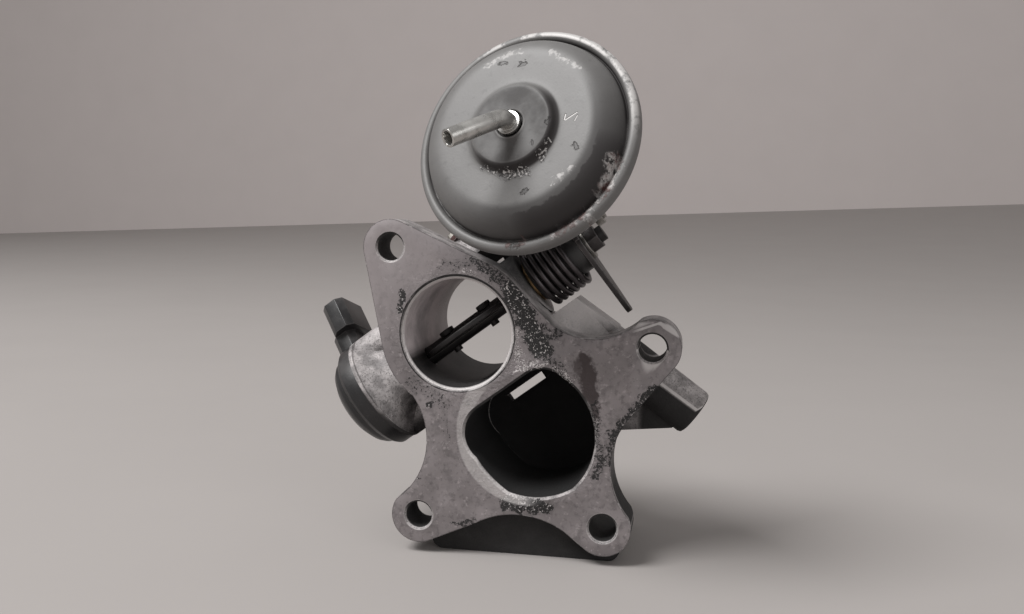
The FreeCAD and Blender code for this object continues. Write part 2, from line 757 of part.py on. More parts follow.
def make_can_rear():
    """The rear shell: flange under the crimp, dished wall and a flat floor with the rod's hole."""
    top = rim_station + diaphragm_thick / 2.0
    floor = rear_floor
    profile = [(can_radius - sheet - 0.1, top), (can_radius - sheet - 0.1, top + sheet),
               (rear_base_radius, top + sheet), (rear_base_radius - 1.4, floor - 6.5),
               (rear_base_radius - 2.6, floor - 3.0), (rear_floor_radius + 1.2, floor - 0.8),
               (rear_floor_radius - 1.0, floor), (rod_bush_radius, floor), (rod_bush_radius, floor - sheet),
               (rear_floor_radius - 1.2, floor - sheet), (rear_floor_radius + 0.4, floor - sheet - 0.6),
               (rear_base_radius - 3.6, floor - 3.6), (rear_base_radius - 2.5, floor - 6.8),
               (rear_base_radius - rear_wall_fall, top)]
    return turned(profile)


def make_nipple():
    """The bent vacuum tube pressed into the cover's boss, with its collar."""
    base = can_boss_top + nipple_seat
    elbow = can_boss_top - nipple_stub
    bend = math.radians(nipple_bend_deg)
    swing = math.radians(nipple_swing_deg)
    side = V(-math.cos(swing), math.sin(swing), 0)
    down = V(0, 0, -1)
    leg = down * math.cos(bend) + side * math.sin(bend)
    trim = nipple_bend_radius * math.tan(bend / 2.0)
    corner = V(0, 0, elbow)
    start = corner - down * trim
    end = corner + leg * trim
    toward = (side * math.cos(bend) - down * math.sin(bend))
    centre = start + side * nipple_bend_radius
    half = centre - (side * math.cos(bend / 2.0) - down * math.sin(bend / 2.0)) * nipple_bend_radius
    path = Part.Wire([Part.makeLine(V(0, 0, base), start), Part.Arc(start, half, end).toShape(),
                      Part.makeLine(end, end + leg * nipple_leg)])
    tubes = []
    for radius in (nipple_radius, nipple_radius - nipple_wall):
        section = Part.Wire(Part.makeCircle(radius, V(0, 0, base), down))
        tubes.append(path.makePipeShell([section], True, True))
    collar = ring(nipple_radius + 1.0, nipple_radius - nipple_wall, can_boss_top - 1.2, can_boss_top)
    return tubes[0].cut(tubes[1]).fuse(collar).removeSplitter()


def make_bracket():
    """The pressed bracket: a plate behind the can, and a leg down to the casting's pad."""
    low = bracket_back - bracket_thick
    top = rod_offset - bracket_leg_height
    station = [s - actuator_station for s in bracket_screw_stations]
    reach = stud_pitch / 2.0 + 7.0
    plate = slab(outline([(-reach - 12.0, top - bracket_thick), (-reach - 12.0, 4.0), (-reach + 3.0, 14.0),
                          (reach - 6.0, 14.0), (reach, 8.0), (reach, -8.0), (reach - 6.0, -14.0),
                          (-reach + 8.0, -14.0), (-reach + 2.0, top - bracket_thick)], 0.0, False),
                 low, bracket_back, False)
    plate = plate.cut([disc(rod_bush_radius + 0.4, low - 1, bracket_back + 1)]
                      + [disc(stud_radius + 0.2, low - 1, bracket_back + 1, side * stud_pitch / 2.0, 0)
                         for side in (1, -1)])
    inner = -reach - 12.0
    outer = pin_tip - 2.0 - actuator_station
    pad_end = bracket_screw_z + pad_size[2] / 2.0
    leg_points = [V(inner, top, low), V(outer, top, low), V(outer, top, low + bracket_leg_front),
                  V(station[1] + 6.5, top, pad_end), V(station[0] - 5.5, top, pad_end),
                  V(station[0] - 5.5, top, bracket_screw_z - 5.0),
                  V(station[0] + 3.5, top, bracket_screw_z - 8.5),
                  V(inner, top, low + bracket_leg_root)]
    leg = Part.Face(Part.makePolygon(leg_points + leg_points[:1])).extrude(V(0, -bracket_thick, 0))
    holes = [Part.makeCylinder(bracket_screw_radius + 0.2, 3 * bracket_thick,
                               V(s, top - 2 * bracket_thick, bracket_screw_z), V(0, 1, 0)) for s in station]
    return plate.fuse(leg).removeSplitter().cut(holes)


def make_bracket_screws():
    """Two hexagon-head screws into the casting's pad."""
    top = rod_offset - bracket_leg_height
    screws = []
    for s in bracket_screw_stations:
        screw = disc(bracket_screw_radius, 0, bracket_screw_depth + bracket_thick).fuse(
            hexagon(bracket_screw_across, -bracket_screw_head, 0)).removeSplitter()
        screw.rotate(V(0, 0, 0), V(1, 0, 0), -90)
        screw.translate(V(s - actuator_station, top - bracket_thick, bracket_screw_z))
        screws.append(screw)
    return Part.makeCompound(screws)


def make_studs():
    """Two weld studs on the rear shell's floor."""
    studs = [disc(stud_radius, rear_floor, rear_floor + stud_length, side * stud_pitch / 2.0, 0)
             for side in (1, -1)]
    return Part.makeCompound(studs)


def make_stud_nuts():
    nuts = [hexagon(stud_nut_across, bracket_back, bracket_back + stud_nut_height, side * stud_pitch / 2.0, 0)
            .cut(disc(stud_radius, bracket_back, bracket_back + stud_nut_height, side * stud_pitch / 2.0, 0))
            for side in (1, -1)]
    return Part.makeCompound(nuts)


def make_rod_bush():
    """The guide bush in the rear shell's centre hole."""
    start = rear_floor - sheet
    inner = rod_radius + running_gap
    return ring(rod_bush_radius, inner, start, start + rod_bush_length)


def plug_block(size, start, end, station, grow=0.0):
    """A bevelled block of the connector, standing out from the sensor, in its frame."""
    wide, deep = size[0] / 2.0 + grow, size[1] / 2.0 + grow
    cut = plug_bevel + 0.6 * grow
    corners = [(-wide, -deep + cut), (-wide, deep - cut), (-wide + cut, deep), (wide - cut, deep),
               (wide, deep - cut), (wide, -deep + cut), (wide - cut, -deep), (-wide + cut, -deep)]
    points = [V(x, start, station + z) for x, z in corners]
    return Part.Face(Part.makePolygon(points + points[:1])).extrude(V(0, end - start, 0))


def make_sensor_housing():
    """The moulded sensor housing with its connector and its pilot in the collar."""
    face = collar_face
    back = face - sensor_depth
    mid = face - sensor_disc_thick
    body = turned([(0, face), (collar_radius - 0.3, face), (collar_radius - 0.3, mid + 1.2),
                   (collar_radius - 1.3, mid), (sensor_cap_radius, mid - 0.8),
                   (sensor_cap_radius - 0.4, back + 3.0),
                   (sensor_cap_radius - 1.6, back + 1.6), (sensor_cap_radius - 4.2, back), (0, back)])
    pilot = disc(sensor_pilot_radius, face, face + sensor_pilot_length)
    neck = plug_block(plug_neck_size, sensor_cap_radius - 3.0, plug_foot + 0.5,
                      face - plug_neck_size[1] / 2.0)
    plug = plug_block(plug_size, plug_foot, plug_top, plug_station)
    body = fused([body, pilot, neck, plug])
    groove = ring(sensor_pilot_radius + 1, oring_radius - oring_wire / 2.0,
                  face + 0.9, face + 0.9 + oring_wire)
    cuts = [disc(sensor_cavity_radius, back - 1, face - sensor_floor),
            disc(sensor_cavity_radius + sensor_lid_step, back - 1, back + sensor_lid_thick),
            disc(shaft_radius + 0.5, face - sensor_floor - 1, face + sensor_pilot_length + 1), groove,
            plug_block(plug_size, plug_top - plug_socket_depth, plug_top + 1, plug_station, -plug_wall)]
    for side in (1, -1):
        x, y = polar((0, 0), side * sensor_screw_pitch / 2.0, 90 + sensor_turn_deg)
        cuts.append(disc(sensor_screw_radius + 0.2, back - 1, face + 1, x, y))
        cuts.append(disc(sensor_screw_head_radius + 0.4, back - 1, mid - 0.5, x, y))
    return body.cut(cuts)


def make_sensor_lid():
    back = collar_face - sensor_depth
    return disc(sensor_cavity_radius + sensor_lid_step - running_gap, back, back + sensor_lid_thick)


def make_sensor_board():
    """The contact board under the lid."""
    start = collar_face - sensor_depth + sensor_lid_thick
    return ring(sensor_cavity_radius - 0.1, 2.0, start, start + board_thick)


def make_rotor():
    """The wiper rotor on the shaft's tail."""
    end = collar_face - sensor_floor - 0.6
    return disc(rotor_radius, shaft_tail - 0.8, end).cut(disc(shaft_radius, shaft_tail, end))


def make_sensor_seal():
    """The O-ring in the pilot's groove."""
    station = collar_face + 0.9 + oring_wire / 2.0
    return Part.makeTorus(oring_radius, oring_wire / 2.0, V(0, 0, station), V(0, 0, 1))


def make_sensor_screws():
    """Two screws from the sensor's outer face into the collar's lobes."""
    seat = collar_face - sensor_disc_thick - 0.5
    screws = []
    for side in (1, -1):
        y = side * sensor_screw_pitch / 2.0
        screw = disc(sensor_screw_radius, seat, collar_face + sensor_screw_grip, 0, y).fuse(
            disc(sensor_screw_head_radius, seat - sensor_screw_head, seat, 0, y)).removeSplitter()
        screws.append(screw.cut(hexagon(sensor_screw_socket, seat - sensor_screw_head, seat - 1.0, 0, y)))
    return Part.makeCompound(screws)


def make_contacts():
    """Three flat contacts in the connector's socket."""
    foot = plug_top - plug_socket_depth
    return Part.makeCompound([
        Part.makeBox(contact_size[0], contact_length, contact_size[1],
                     V(i * contact_pitch - contact_size[0] / 2.0, foot, plug_station - contact_size[1] / 2.0))
        for i in (-1, 0, 1)])


def build():
    """Every piece by name, in the valve's own frame."""
    pieces = {"housing": make_housing()}
    in_shaft_frame = {
        "drive_bush": make_bush(False), "sensor_bush": make_bush(True), "shaft_seals": make_seals(),
        "flap_shaft": make_shaft(), "flap_disc": make_flap(), "flap_screws": make_flap_screws(),
        "spring_sleeve": make_sleeve(), "lever": make_lever(), "lever_washer": make_washer(),
        "lever_nut": make_nut(), "return_spring": make_return_spring(), "sensor_rotor": make_rotor(),
        "sensor_seal": make_sensor_seal(), "sensor_screws": make_sensor_screws()}
    in_rod_frame = {
        "actuator_rod": make_rod(), "link_pin": make_link_pin(), "pin_clip": make_clip(),
        "diaphragm_plate": make_plate(), "diaphragm": make_diaphragm(), "diaphragm_spring": make_can_spring(),
        "can_front": make_can_front(), "can_rear": make_can_rear(), "vacuum_nipple": make_nipple(),
        "can_studs": make_studs(), "can_nuts": make_stud_nuts(), "rod_bush": make_rod_bush(),
        "can_bracket": make_bracket(), "bracket_screws": make_bracket_screws()}
    in_sensor_frame = {
        "sensor_housing": make_sensor_housing(), "sensor_lid": make_sensor_lid(),
        "sensor_board": make_sensor_board(), "connector_pins": make_contacts()}
    for group, frame in ((in_shaft_frame, SHAFT), (in_rod_frame, ROD), (in_sensor_frame, SENSOR)):
        for name, shape in group.items():
            pieces[name] = placed(shape, frame)
    return pieces


def main():
    os.makedirs("parts", exist_ok=True)
    for name, shape in build().items():
        shape.exportStep("parts/" + name + ".step")
    print("shaft axis", SHAFT.Rotation.multVec(V(0, 0, 1)), "rod axis", ROD.Rotation.multVec(V(0, 0, 1)))
    print("rod travel", round(rod_travel, 3), "ratio mm per radian", round(rod_ratio, 4))


main()
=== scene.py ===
"""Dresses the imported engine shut-off valve: finished pieces, materials, floor, light and camera."""

import json
import math

import bpy
from bpy.props import FloatProperty, FloatVectorProperty, IntProperty, PointerProperty
from mathutils import Matrix, Vector

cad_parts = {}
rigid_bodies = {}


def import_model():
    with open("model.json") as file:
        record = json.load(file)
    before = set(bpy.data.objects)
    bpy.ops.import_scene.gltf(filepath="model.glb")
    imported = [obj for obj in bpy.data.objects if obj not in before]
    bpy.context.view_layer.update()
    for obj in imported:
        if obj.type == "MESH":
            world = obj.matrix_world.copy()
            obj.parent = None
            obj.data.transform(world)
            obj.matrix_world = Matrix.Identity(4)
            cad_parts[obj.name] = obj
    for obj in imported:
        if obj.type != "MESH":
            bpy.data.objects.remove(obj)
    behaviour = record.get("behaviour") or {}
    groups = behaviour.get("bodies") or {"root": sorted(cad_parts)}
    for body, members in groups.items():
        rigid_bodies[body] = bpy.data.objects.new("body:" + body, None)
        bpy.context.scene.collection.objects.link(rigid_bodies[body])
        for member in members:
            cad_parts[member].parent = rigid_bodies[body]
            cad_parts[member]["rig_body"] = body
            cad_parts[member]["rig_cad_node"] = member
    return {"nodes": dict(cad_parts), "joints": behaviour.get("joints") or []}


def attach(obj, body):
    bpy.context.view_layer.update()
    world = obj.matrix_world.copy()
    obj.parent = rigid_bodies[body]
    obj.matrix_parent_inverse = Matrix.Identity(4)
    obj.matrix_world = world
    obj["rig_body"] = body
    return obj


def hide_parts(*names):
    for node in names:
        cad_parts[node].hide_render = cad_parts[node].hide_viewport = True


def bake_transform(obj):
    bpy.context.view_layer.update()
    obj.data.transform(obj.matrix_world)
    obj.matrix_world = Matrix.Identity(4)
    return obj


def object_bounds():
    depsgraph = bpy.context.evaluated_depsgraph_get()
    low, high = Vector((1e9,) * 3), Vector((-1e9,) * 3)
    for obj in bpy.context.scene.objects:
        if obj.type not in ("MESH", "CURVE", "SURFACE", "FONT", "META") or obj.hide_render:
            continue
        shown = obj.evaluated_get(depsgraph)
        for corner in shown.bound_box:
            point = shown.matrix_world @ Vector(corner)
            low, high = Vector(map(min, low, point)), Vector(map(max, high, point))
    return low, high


bl_info = {
    "name": "Engine Shut-off Valve",
    "version": (1, 0, 0),
    "blender": (4, 5, 0),
    "location": "View3D > Sidebar > Valve",
    "description": "Finishes the shut-off valve's pieces, materials and stage",
    "category": "Object",
}

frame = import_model()
cad_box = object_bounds()

MM = 0.001
hinge = next(j for j in frame["joints"] if j["name"] == "flap_turn")
slide = next(j for j in frame["joints"] if j["name"] == "rod_slide")
SHAFT_AXIS = Vector(hinge["axis"])
SHAFT_POINT = Vector(hinge["pos_m"])
ROD_AXIS = -Vector(slide["axis"])


def frame_matrix(x_axis, y_axis, z_axis, origin):
    """The matrix of a local frame from its axes and origin."""
    rotation = Matrix((x_axis, y_axis, z_axis)).transposed()
    return Matrix.Translation(origin) @ rotation.to_4x4()


def shaft_frame():
    """Local z along the flap shaft, x along the bore."""
    along = Vector((0, 1, 0))
    return frame_matrix(along, SHAFT_AXIS.cross(along), SHAFT_AXIS, SHAFT_POINT)


def rod_frame(settings):
    """Local z along the actuator rod towards the lever, x along the shaft."""
    lean = settings.lean
    foot = Vector((settings.rod_offset * math.sin(lean), settings.rod_offset * math.cos(lean),
                   settings.rod_station))
    return frame_matrix(SHAFT_AXIS, ROD_AXIS.cross(SHAFT_AXIS), ROD_AXIS, shaft_frame() @ foot)


# Settings

def size(name, text, value):
    return FloatProperty(name=name, description=text, default=value, subtype="DISTANCE", unit="LENGTH",
                         precision=5)


def angle(name, text, degrees):
    return FloatProperty(name=name, description=text, default=math.radians(degrees), subtype="ANGLE")


def colour(name, text, value):
    return FloatVectorProperty(name=name, description=text, default=value, size=3, min=0, max=1,
                               subtype="COLOR")


class CastingSettings(bpy.types.PropertyGroup):
    edge: size("Edge rounding", "Radius of the casting's broken edges", 0.35 * MM)
    face: colour("Machined face", "Colour of the flange's machined face", (0.235, 0.212, 0.214))
    skin: colour("Cast skin", "Colour of the sand-cast sides", (0.315, 0.293, 0.290))
    # this bright colour also paints highlights on the bore's lip, the bolt holes' edges and the neck's
    # parting line
    bright: colour("Bare edge", "Colour of aluminium worn bare", (0.62, 0.59, 0.58))
    # this black also serves as painted shadow on the bore's lower wall and as a painted shade ring round the
    # bore's mouth
    soot_and_shade: colour("Soot", "Colour of the soot in and round the ports", (0.006, 0.0055, 0.0055))
    crust: colour("Corrosion", "Colour of the pale corrosion crumbs", (0.62, 0.585, 0.575))
    smear: colour("Oil smear", "Colour of burnt oil beside the D-shaped port", (0.030, 0.019, 0.019))


class CanSettings(bpy.types.PropertyGroup):
    lean: angle("Lean", "Angle between the rod and the flange's normal", 25.0)
    rod_offset: size("Rod offset", "Distance of the rod's axis from the shaft's axis", 12.5 * MM)
    rod_station: size("Rod station", "Place of the rod's axis along the shaft", 56.7 * MM)
    rim_station: size("Rim station", "Place of the crimped rim along the rod's axis", -51.2 * MM)
    radius: size("Radius", "Outer radius of the crimped rim", 35.0 * MM)
    spring_end: size("Spring end", "Place of the can spring's last turn along the rod's axis", -40.0 * MM)
    paint: colour("Zinc grey", "Colour of the can's grey coat", (0.138, 0.134, 0.131))
    # this colour also paints highlights on the cover's rim and shoulder
    bright: colour("Worn steel", "Colour where the coat is rubbed through", (0.42, 0.405, 0.395))
    grime_and_shade: colour("Grime", "Colour of the oily grime in corners and low places", (0.014, 0.011, 0.011))
    # this dark colour serves real grime on the rear shell and in the crumbs, and painted shade in the
    # cover's hollows and on its lower right
    rust: colour("Rust", "Colour of the rust on the rear shell", (0.070, 0.026, 0.022))


class SpringSettings(bpy.types.PropertyGroup):
    radius: size("Coil radius", "Radius of the return spring's centre line", 10.4 * MM)
    wire: size("Wire", "Diameter of the spring wire", 2.0 * MM)
    start: size("Start", "Place of the first turn along the shaft", 29.4 * MM)
    end: size("End", "Place of the last turn along the shaft", 44.4 * MM)
    leg: size("Leg", "Length of each radial leg", 4.6 * MM)
    turns: FloatProperty(name="Turns", description="Turns of the return spring", default=6.25)
    foot: angle("Foot angle", "Direction of the fixed leg", 60.0)
    steel: colour("Spring steel", "Colour of the oiled wire", (0.070, 0.062, 0.064))


class SensorSettings(bpy.types.PropertyGroup):
    edge: size("Edge rounding", "Radius of the moulding's edges", 0.4 * MM)
    plastic: colour("Plastic", "Colour of the sensor's moulding", (0.009, 0.0085, 0.009))
    dust: colour("Dust", "Colour of the dust on dark pieces", (0.12, 0.112, 0.110))


class StageSettings(bpy.types.PropertyGroup):
    floor: colour("Floor", "Colour of the floor", (0.335, 0.312, 0.300))
    wall: colour("Backdrop", "Colour of the backdrop", (0.56, 0.512, 0.498))
    reach: size("Floor reach", "Distance of the backdrop behind the valve", 3.0)
    left_rise: size("Left rise", "Height of the floor's far edge at the left", 0.059)
    right_rise: size("Right rise", "Height of the floor's far edge at the right", 0.190)
    lens: FloatProperty(name="Lens", description="Focal length on a 36 mm wide sensor", default=33.4)
    key: FloatProperty(name="Key light", description="Power of the key lamp", default=78.0, unit="POWER")
    fill: FloatProperty(name="Fill light", description="Power of the fill lamp", default=6.0, unit="POWER")
    world: FloatProperty(name="World", description="Strength of the soft light all round", default=0.40)


# Modelling

def deselect():
    if bpy.context.object and bpy.context.object.mode != "OBJECT":
        bpy.ops.object.mode_set(mode="OBJECT")
    bpy.ops.object.select_all(action="DESELECT")


def pick(piece):
    deselect()
    piece.select_set(True)
    bpy.context.view_layer.objects.active = piece


def seat(piece, matrix):
    """Moves a piece from its local frame to its place and puts its object back at the origin."""
    pick(piece)
    piece.matrix_world = matrix @ piece.matrix_world
    bpy.ops.object.transform_apply(location=True, rotation=True, scale=True)


def apply_modifier(piece, kind, **values):
    pick(piece)
    bpy.ops.object.modifier_add(type=kind)
    modifier = piece.modifiers[-1]
    for key, value in values.items():
        setattr(modifier, key, value)
    bpy.ops.object.modifier_apply(modifier=modifier.name)


def tidy_mesh(piece, flat_deg=0.4):
    """Merges the corners of a copied mesh and dissolves the edges inside its flat faces."""
    pick(piece)
    bpy.ops.object.mode_set(mode="EDIT")
    bpy.ops.mesh.select_all(action="SELECT")
    bpy.ops.mesh.remove_doubles(threshold=2e-6)
    bpy.ops.mesh.dissolve_limited(angle_limit=math.radians(flat_deg), delimit={"NORMAL"})
    bpy.ops.object.mode_set(mode="OBJECT")


def soften(piece, width, segments=2, sharp_deg=32.0):
    """Rounds a piece's sharp edges and shades it smooth."""
    apply_modifier(piece, "BEVEL", width=width, segments=segments, limit_method="ANGLE",
                   angle_limit=math.radians(sharp_deg), miter_outer="MITER_ARC", use_clamp_overlap=True,
                   loop_slide=True, harden_normals=False)
    pick(piece)
    bpy.ops.object.shade_smooth_by_angle(angle=math.radians(38.0))


def dressed(node, name, material, width, segments=2, sharp_deg=32.0, body="own"):
    """A finished copy of a CAD node: merged, its edges rounded, in its place on its body."""
    source = frame["nodes"][node]
    pick(source)
    bpy.ops.object.duplicate()
    piece = bpy.context.object
    bpy.ops.object.parent_clear(type="CLEAR_KEEP_TRANSFORM")
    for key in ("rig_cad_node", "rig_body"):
        if key in piece:
            del piece[key]
    piece.name = name
    piece.data.name = name
    tidy_mesh(piece)
    if width > 0:
        soften(piece, width, segments, sharp_deg)
    return finish_piece(piece, material, source["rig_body"] if body == "own" else body, node)


def finish_piece(piece, material, body, *nodes):
    """Gives a piece its material, its body and the CAD nodes that it stands for."""
    piece.data.materials.clear()
    piece.data.materials.append(material)
    if nodes:
        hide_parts(*nodes)
    if body:
        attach(piece, body)
    return piece


def turned(name, rings, sides=64, levels=2):
    """A shell turned round local z: a circle is extruded from ring to ring, then subdivided."""
    radius, height = rings[0]
    deselect()
    bpy.ops.mesh.primitive_circle_add(vertices=sides, radius=radius, location=(0, 0, height))
    piece = bpy.context.object
    piece.name = name
    piece.data.name = name
    bpy.ops.object.transform_apply(location=True, rotation=True, scale=True)
    bpy.ops.object.mode_set(mode="EDIT")
    bpy.ops.mesh.select_all(action="SELECT")
    for next_radius, next_height in rings[1:]:
        bpy.ops.mesh.extrude_region_move(
            TRANSFORM_OT_translate={"value": (0, 0, next_height - height)})
        scale = next_radius / radius
        bpy.ops.transform.resize(value=(scale, scale, 1), center_override=(0, 0, next_height))
        radius, height = next_radius, next_height
    bpy.ops.mesh.select_all(action="SELECT")
    bpy.ops.mesh.remove_doubles(threshold=1e-7)
    bpy.ops.mesh.normals_make_consistent(inside=False)
    bpy.ops.object.mode_set(mode="OBJECT")
    if levels:
        apply_modifier(piece, "SUBSURF", levels=levels, render_levels=levels)
    pick(piece)
    bpy.ops.object.shade_smooth_by_angle(angle=math.radians(60.0))
    return piece


# Materials

class Tree:
    """Short names for building a material's or a group's nodes."""

    def __init__(self, tree):
        self.tree = tree

    def node(self, kind, inputs=None, **values):
        made = self.tree.nodes.new(kind)
        for key, value in values.items():
            setattr(made, key, value)
        for key, value in (inputs or {}).items():
            self.put(made.inputs[key], value)
        return made

    def put(self, socket, value):
        if isinstance(value, bpy.types.NodeSocket):
            self.tree.links.new(value, socket)
        elif hasattr(value, "__len__") and len(value) == 3 and len(socket.default_value) == 4:
            socket.default_value = (*value, 1.0)
        else:
            socket.default_value = value

    def math(self, operation, a, b=0.0, c=0.0, clamp=False):
        made = self.node("ShaderNodeMath", {0: a, 1: b, 2: c}, operation=operation, use_clamp=clamp)
        return made.outputs[0]

    def times(self, a, b, clamp=False):
        return self.math("MULTIPLY", a, b, clamp=clamp)

    def most(self, a, b):
        return self.math("MAXIMUM", a, b)

    def vector(self, operation, a, b=(0, 0, 0), scale=1.0):
        made = self.node("ShaderNodeVectorMath", {0: a, 1: b}, operation=operation)
        if operation == "SCALE":
            self.put(made.inputs["Scale"], scale)
        return made.outputs["Value" if operation in ("LENGTH", "DISTANCE", "DOT_PRODUCT") else "Vector"]

    def ramp(self, value, low, high, out_low=0.0, out_high=1.0):
        made = self.node("ShaderNodeMapRange", {"Value": value, "From Min": low, "From Max": high,
                                                "To Min": out_low, "To Max": out_high},
                         interpolation_type="SMOOTHSTEP")
        return made.outputs["Result"]

    def noise(self, place, scale, detail=4.0, roughness=0.55, stretch=None):
        if stretch:
            place = self.vector("MULTIPLY", place, stretch)
        return self.node("ShaderNodeTexNoise", {"Vector": place, "Scale": scale, "Detail": detail,
                                                "Roughness": roughness}).outputs["Fac"]

    def mix(self, factor, a, b):
        made = self.node("ShaderNodeMix", data_type="RGBA")
        self.put(made.inputs["Factor"], factor)
        self.put(made.inputs["A"], a)
        self.put(made.inputs["B"], b)
        return made.outputs["Result"]

    def place(self):
        return self.node("ShaderNodeTexCoord").outputs["Object"]

    def band(self, value, low, high, soft):
        """1 between two values, with soft ends."""
        rise = self.ramp(value, low - soft, low)
        fall = self.ramp(value, high, high + soft, 1.0, 0.0)
        return self.times(rise, fall)

    def ragged(self, place, reach, scale):
        """The place, shifted by noise, which gives stains their ragged edges."""
        noise = self.node("ShaderNodeTexNoise", {"Vector": place, "Scale": scale, "Detail": 5.0,
                                                 "Roughness": 0.68}).outputs["Color"]
        shift = self.vector("SUBTRACT", noise, (0.5, 0.5, 0.5))
        return self.vector("ADD", place, self.vector("MULTIPLY", shift, reach))

    def bump(self, height, distance, strength=1.0):
        made = self.node("ShaderNodeBump", {"Height": height, "Distance": distance, "Strength": strength})
        return made.outputs["Normal"]


def group(name, inputs, outputs):
    """A shader node group with float, colour or vector sockets; returns its tree and its ends."""
    made = bpy.data.node_groups.new(name, "ShaderNodeTree")
    for label, (kind, value) in inputs.items():
        socket = made.interface.new_socket(name=label, in_out="INPUT", socket_type=kind)
        if value is not None:
            socket.default_value = value
    for label, kind in outputs.items():
        made.interface.new_socket(name=label, in_out="OUTPUT", socket_type=kind)
    tree = Tree(made)
    return made, tree, tree.node("NodeGroupInput").outputs, tree.node("NodeGroupOutput").inputs


FLOAT, VECTOR = "NodeSocketFloat", "NodeSocketVector"


def make_edge_group():
    """Mask of the outer edges that rubbing has worn bare, broken up by noise."""
    made, t, given, out = group("Worn edges", {"Place": (VECTOR, None), "Width": (FLOAT, 0.0006),
                                               "Amount": (FLOAT, 0.5), "Grain": (FLOAT, 900.0)},
                                {"Mask": FLOAT})
    rounded = t.node("ShaderNodeBevel", {"Radius": given["Width"]}, samples=6).outputs["Normal"]
    flat = t.node("ShaderNodeNewGeometry").outputs["Normal"]
    turn = t.math("SUBTRACT", 1.0, t.vector("DOT_PRODUCT", rounded, flat))
    patchy = t.noise(given["Place"], given["Grain"], 3.0, 0.6)
    lifted = t.times(turn, t.ramp(patchy, 0.25, 0.65, 2.0, 26.0))
    t.put(out["Mask"], t.times(lifted, given["Amount"], clamp=True))
    return made


def make_speck_group():
    """Small grains: black scale and pale crumbs on it, as far as a coverage mask lets them be."""
    made, t, given, out = group("Specks", {"Place": (VECTOR, None), "Scale": (FLOAT, 1500.0),
                                           "Cover": (FLOAT, 0.5), "Crumbs": (FLOAT, 0.5)},
                                {"Dark": FLOAT, "Pale": FLOAT, "Height": FLOAT})
    grain = t.noise(given["Place"], given["Scale"], 5.0, 0.68)
    shifted = t.vector("ADD", given["Place"], (0.31, 0.17, 0.23))
    crumb = t.noise(shifted, t.times(given["Scale"], 1.25), 4.0, 0.62)
    bar = t.math("SUBTRACT", 0.72, t.times(given["Cover"], 0.36))
    pale_bar = t.math("SUBTRACT", 0.80, t.times(given["Crumbs"], 0.26))
    t.put(out["Dark"], t.ramp(t.math("SUBTRACT", grain, bar), 0.0, 0.035))
    t.put(out["Pale"], t.ramp(t.math("SUBTRACT", crumb, pale_bar), 0.0, 0.03))
    t.put(out["Height"], t.math("SUBTRACT", crumb, t.times(grain, 0.6)))
    return made


def make_spot_group():
    """A soft stain along a line between two points."""
    made, t, given, out = group("Stain", {"Place": (VECTOR, None), "From": (VECTOR, None),
                                          "To": (VECTOR, None), "Radius": (FLOAT, 0.006)}, {"Mask": FLOAT})
    run = t.vector("SUBTRACT", given["To"], given["From"])
    reach = t.vector("SUBTRACT", given["Place"], given["From"])
    length = t.most(t.vector("DOT_PRODUCT", run, run), 1e-9)
    share = t.math("DIVIDE", t.vector("DOT_PRODUCT", reach, run), length, clamp=True)
    away = t.vector("DISTANCE", reach, t.vector("SCALE", run, scale=share))
    t.put(out["Mask"], t.ramp(t.math("DIVIDE", away, given["Radius"]), 0.55, 1.15, 1.0, 0.0))
    return made


def make_grain_group():
    """Height of a cast skin: fine sand grain on a slow swell."""
    made, t, given, out = group("Sand grain", {"Place": (VECTOR, None), "Scale": (FLOAT, 1400.0)},
                                {"Height": FLOAT, "Mottle": FLOAT})
    fine = t.noise(given["Place"], given["Scale"], 4.0, 0.62)
    slow = t.noise(given["Place"], 190.0, 4.0, 0.6)
    pits = t.node("ShaderNodeTexVoronoi", {"Vector": given["Place"], "Scale": 620.0}).outputs["Distance"]
    height = t.math("ADD", t.times(fine, 0.7), t.times(slow, 0.8))
    t.put(out["Height"], t.math("ADD", height, t.ramp(pits, 0.0, 0.32, -0.35, 0.0)))
    t.put(out["Mottle"], slow)
    return made


def make_scratch_group():
    """Fine scratches in two directions."""
    made, t, given, out = group("Scratches", {"Place": (VECTOR, None), "Density": (FLOAT, 0.5)},
                                {"Mask": FLOAT})
    total = None
    for turn, stretch in ((0.5, (160.0, 160.0, 3200.0)), (-0.9, (3600.0, 200.0, 140.0))):
        turned_place = t.node("ShaderNodeMapping", {"Vector": given["Place"], "Rotation": (0.3, turn, 0.2)})
        streak = t.noise(turned_place.outputs["Vector"], 1.0, 2.0, 0.5, stretch)
        line = t.ramp(streak, t.math("SUBTRACT", 0.80, t.times(given["Density"], 0.14)), 0.80)
        total = line if total is None else t.most(total, line)
    broken = t.ramp(t.noise(given["Place"], 120.0), 0.42, 0.6)
    t.put(out["Mask"], t.times(total, broken))
    return made


class Kit:
    """The node groups that several materials share."""

    def __init__(self):
        self.edge = make_edge_group()
        self.speck = make_speck_group()
        self.spot = make_spot_group()
        self.grain = make_grain_group()
        self.scratch = make_scratch_group()


def shared():
    names = {"edge": "Worn edges", "speck": "Specks", "spot": "Stain", "grain": "Sand grain",
             "scratch": "Scratches"}
    if names["edge"] not in bpy.data.node_groups:
        return Kit()
    kit = Kit.__new__(Kit)
    for key, name in names.items():
        setattr(kit, key, bpy.data.node_groups[name])
    return kit


def use(t, tree, **inputs):
    made = t.node("ShaderNodeGroup")
    made.node_tree = tree
    for key, value in inputs.items():
        t.put(made.inputs[key.replace("_", " ")], value)
    return made.outputs


def shade(base, share):
    """A lighter or darker shade of a colour, no brighter than white."""
    return [min(1.0, c * share) for c in base]


def new_material(name):
    material = bpy.data.materials.new(name)
    material.use_nodes = True
    material.node_tree.nodes.clear()
    t = Tree(material.node_tree)
    shader = t.node("ShaderNodeBsdfPrincipled")
    end = t.node("ShaderNodeOutputMaterial")
    t.tree.links.new(shader.outputs["BSDF"], end.inputs["Surface"])
    return material, t, shader


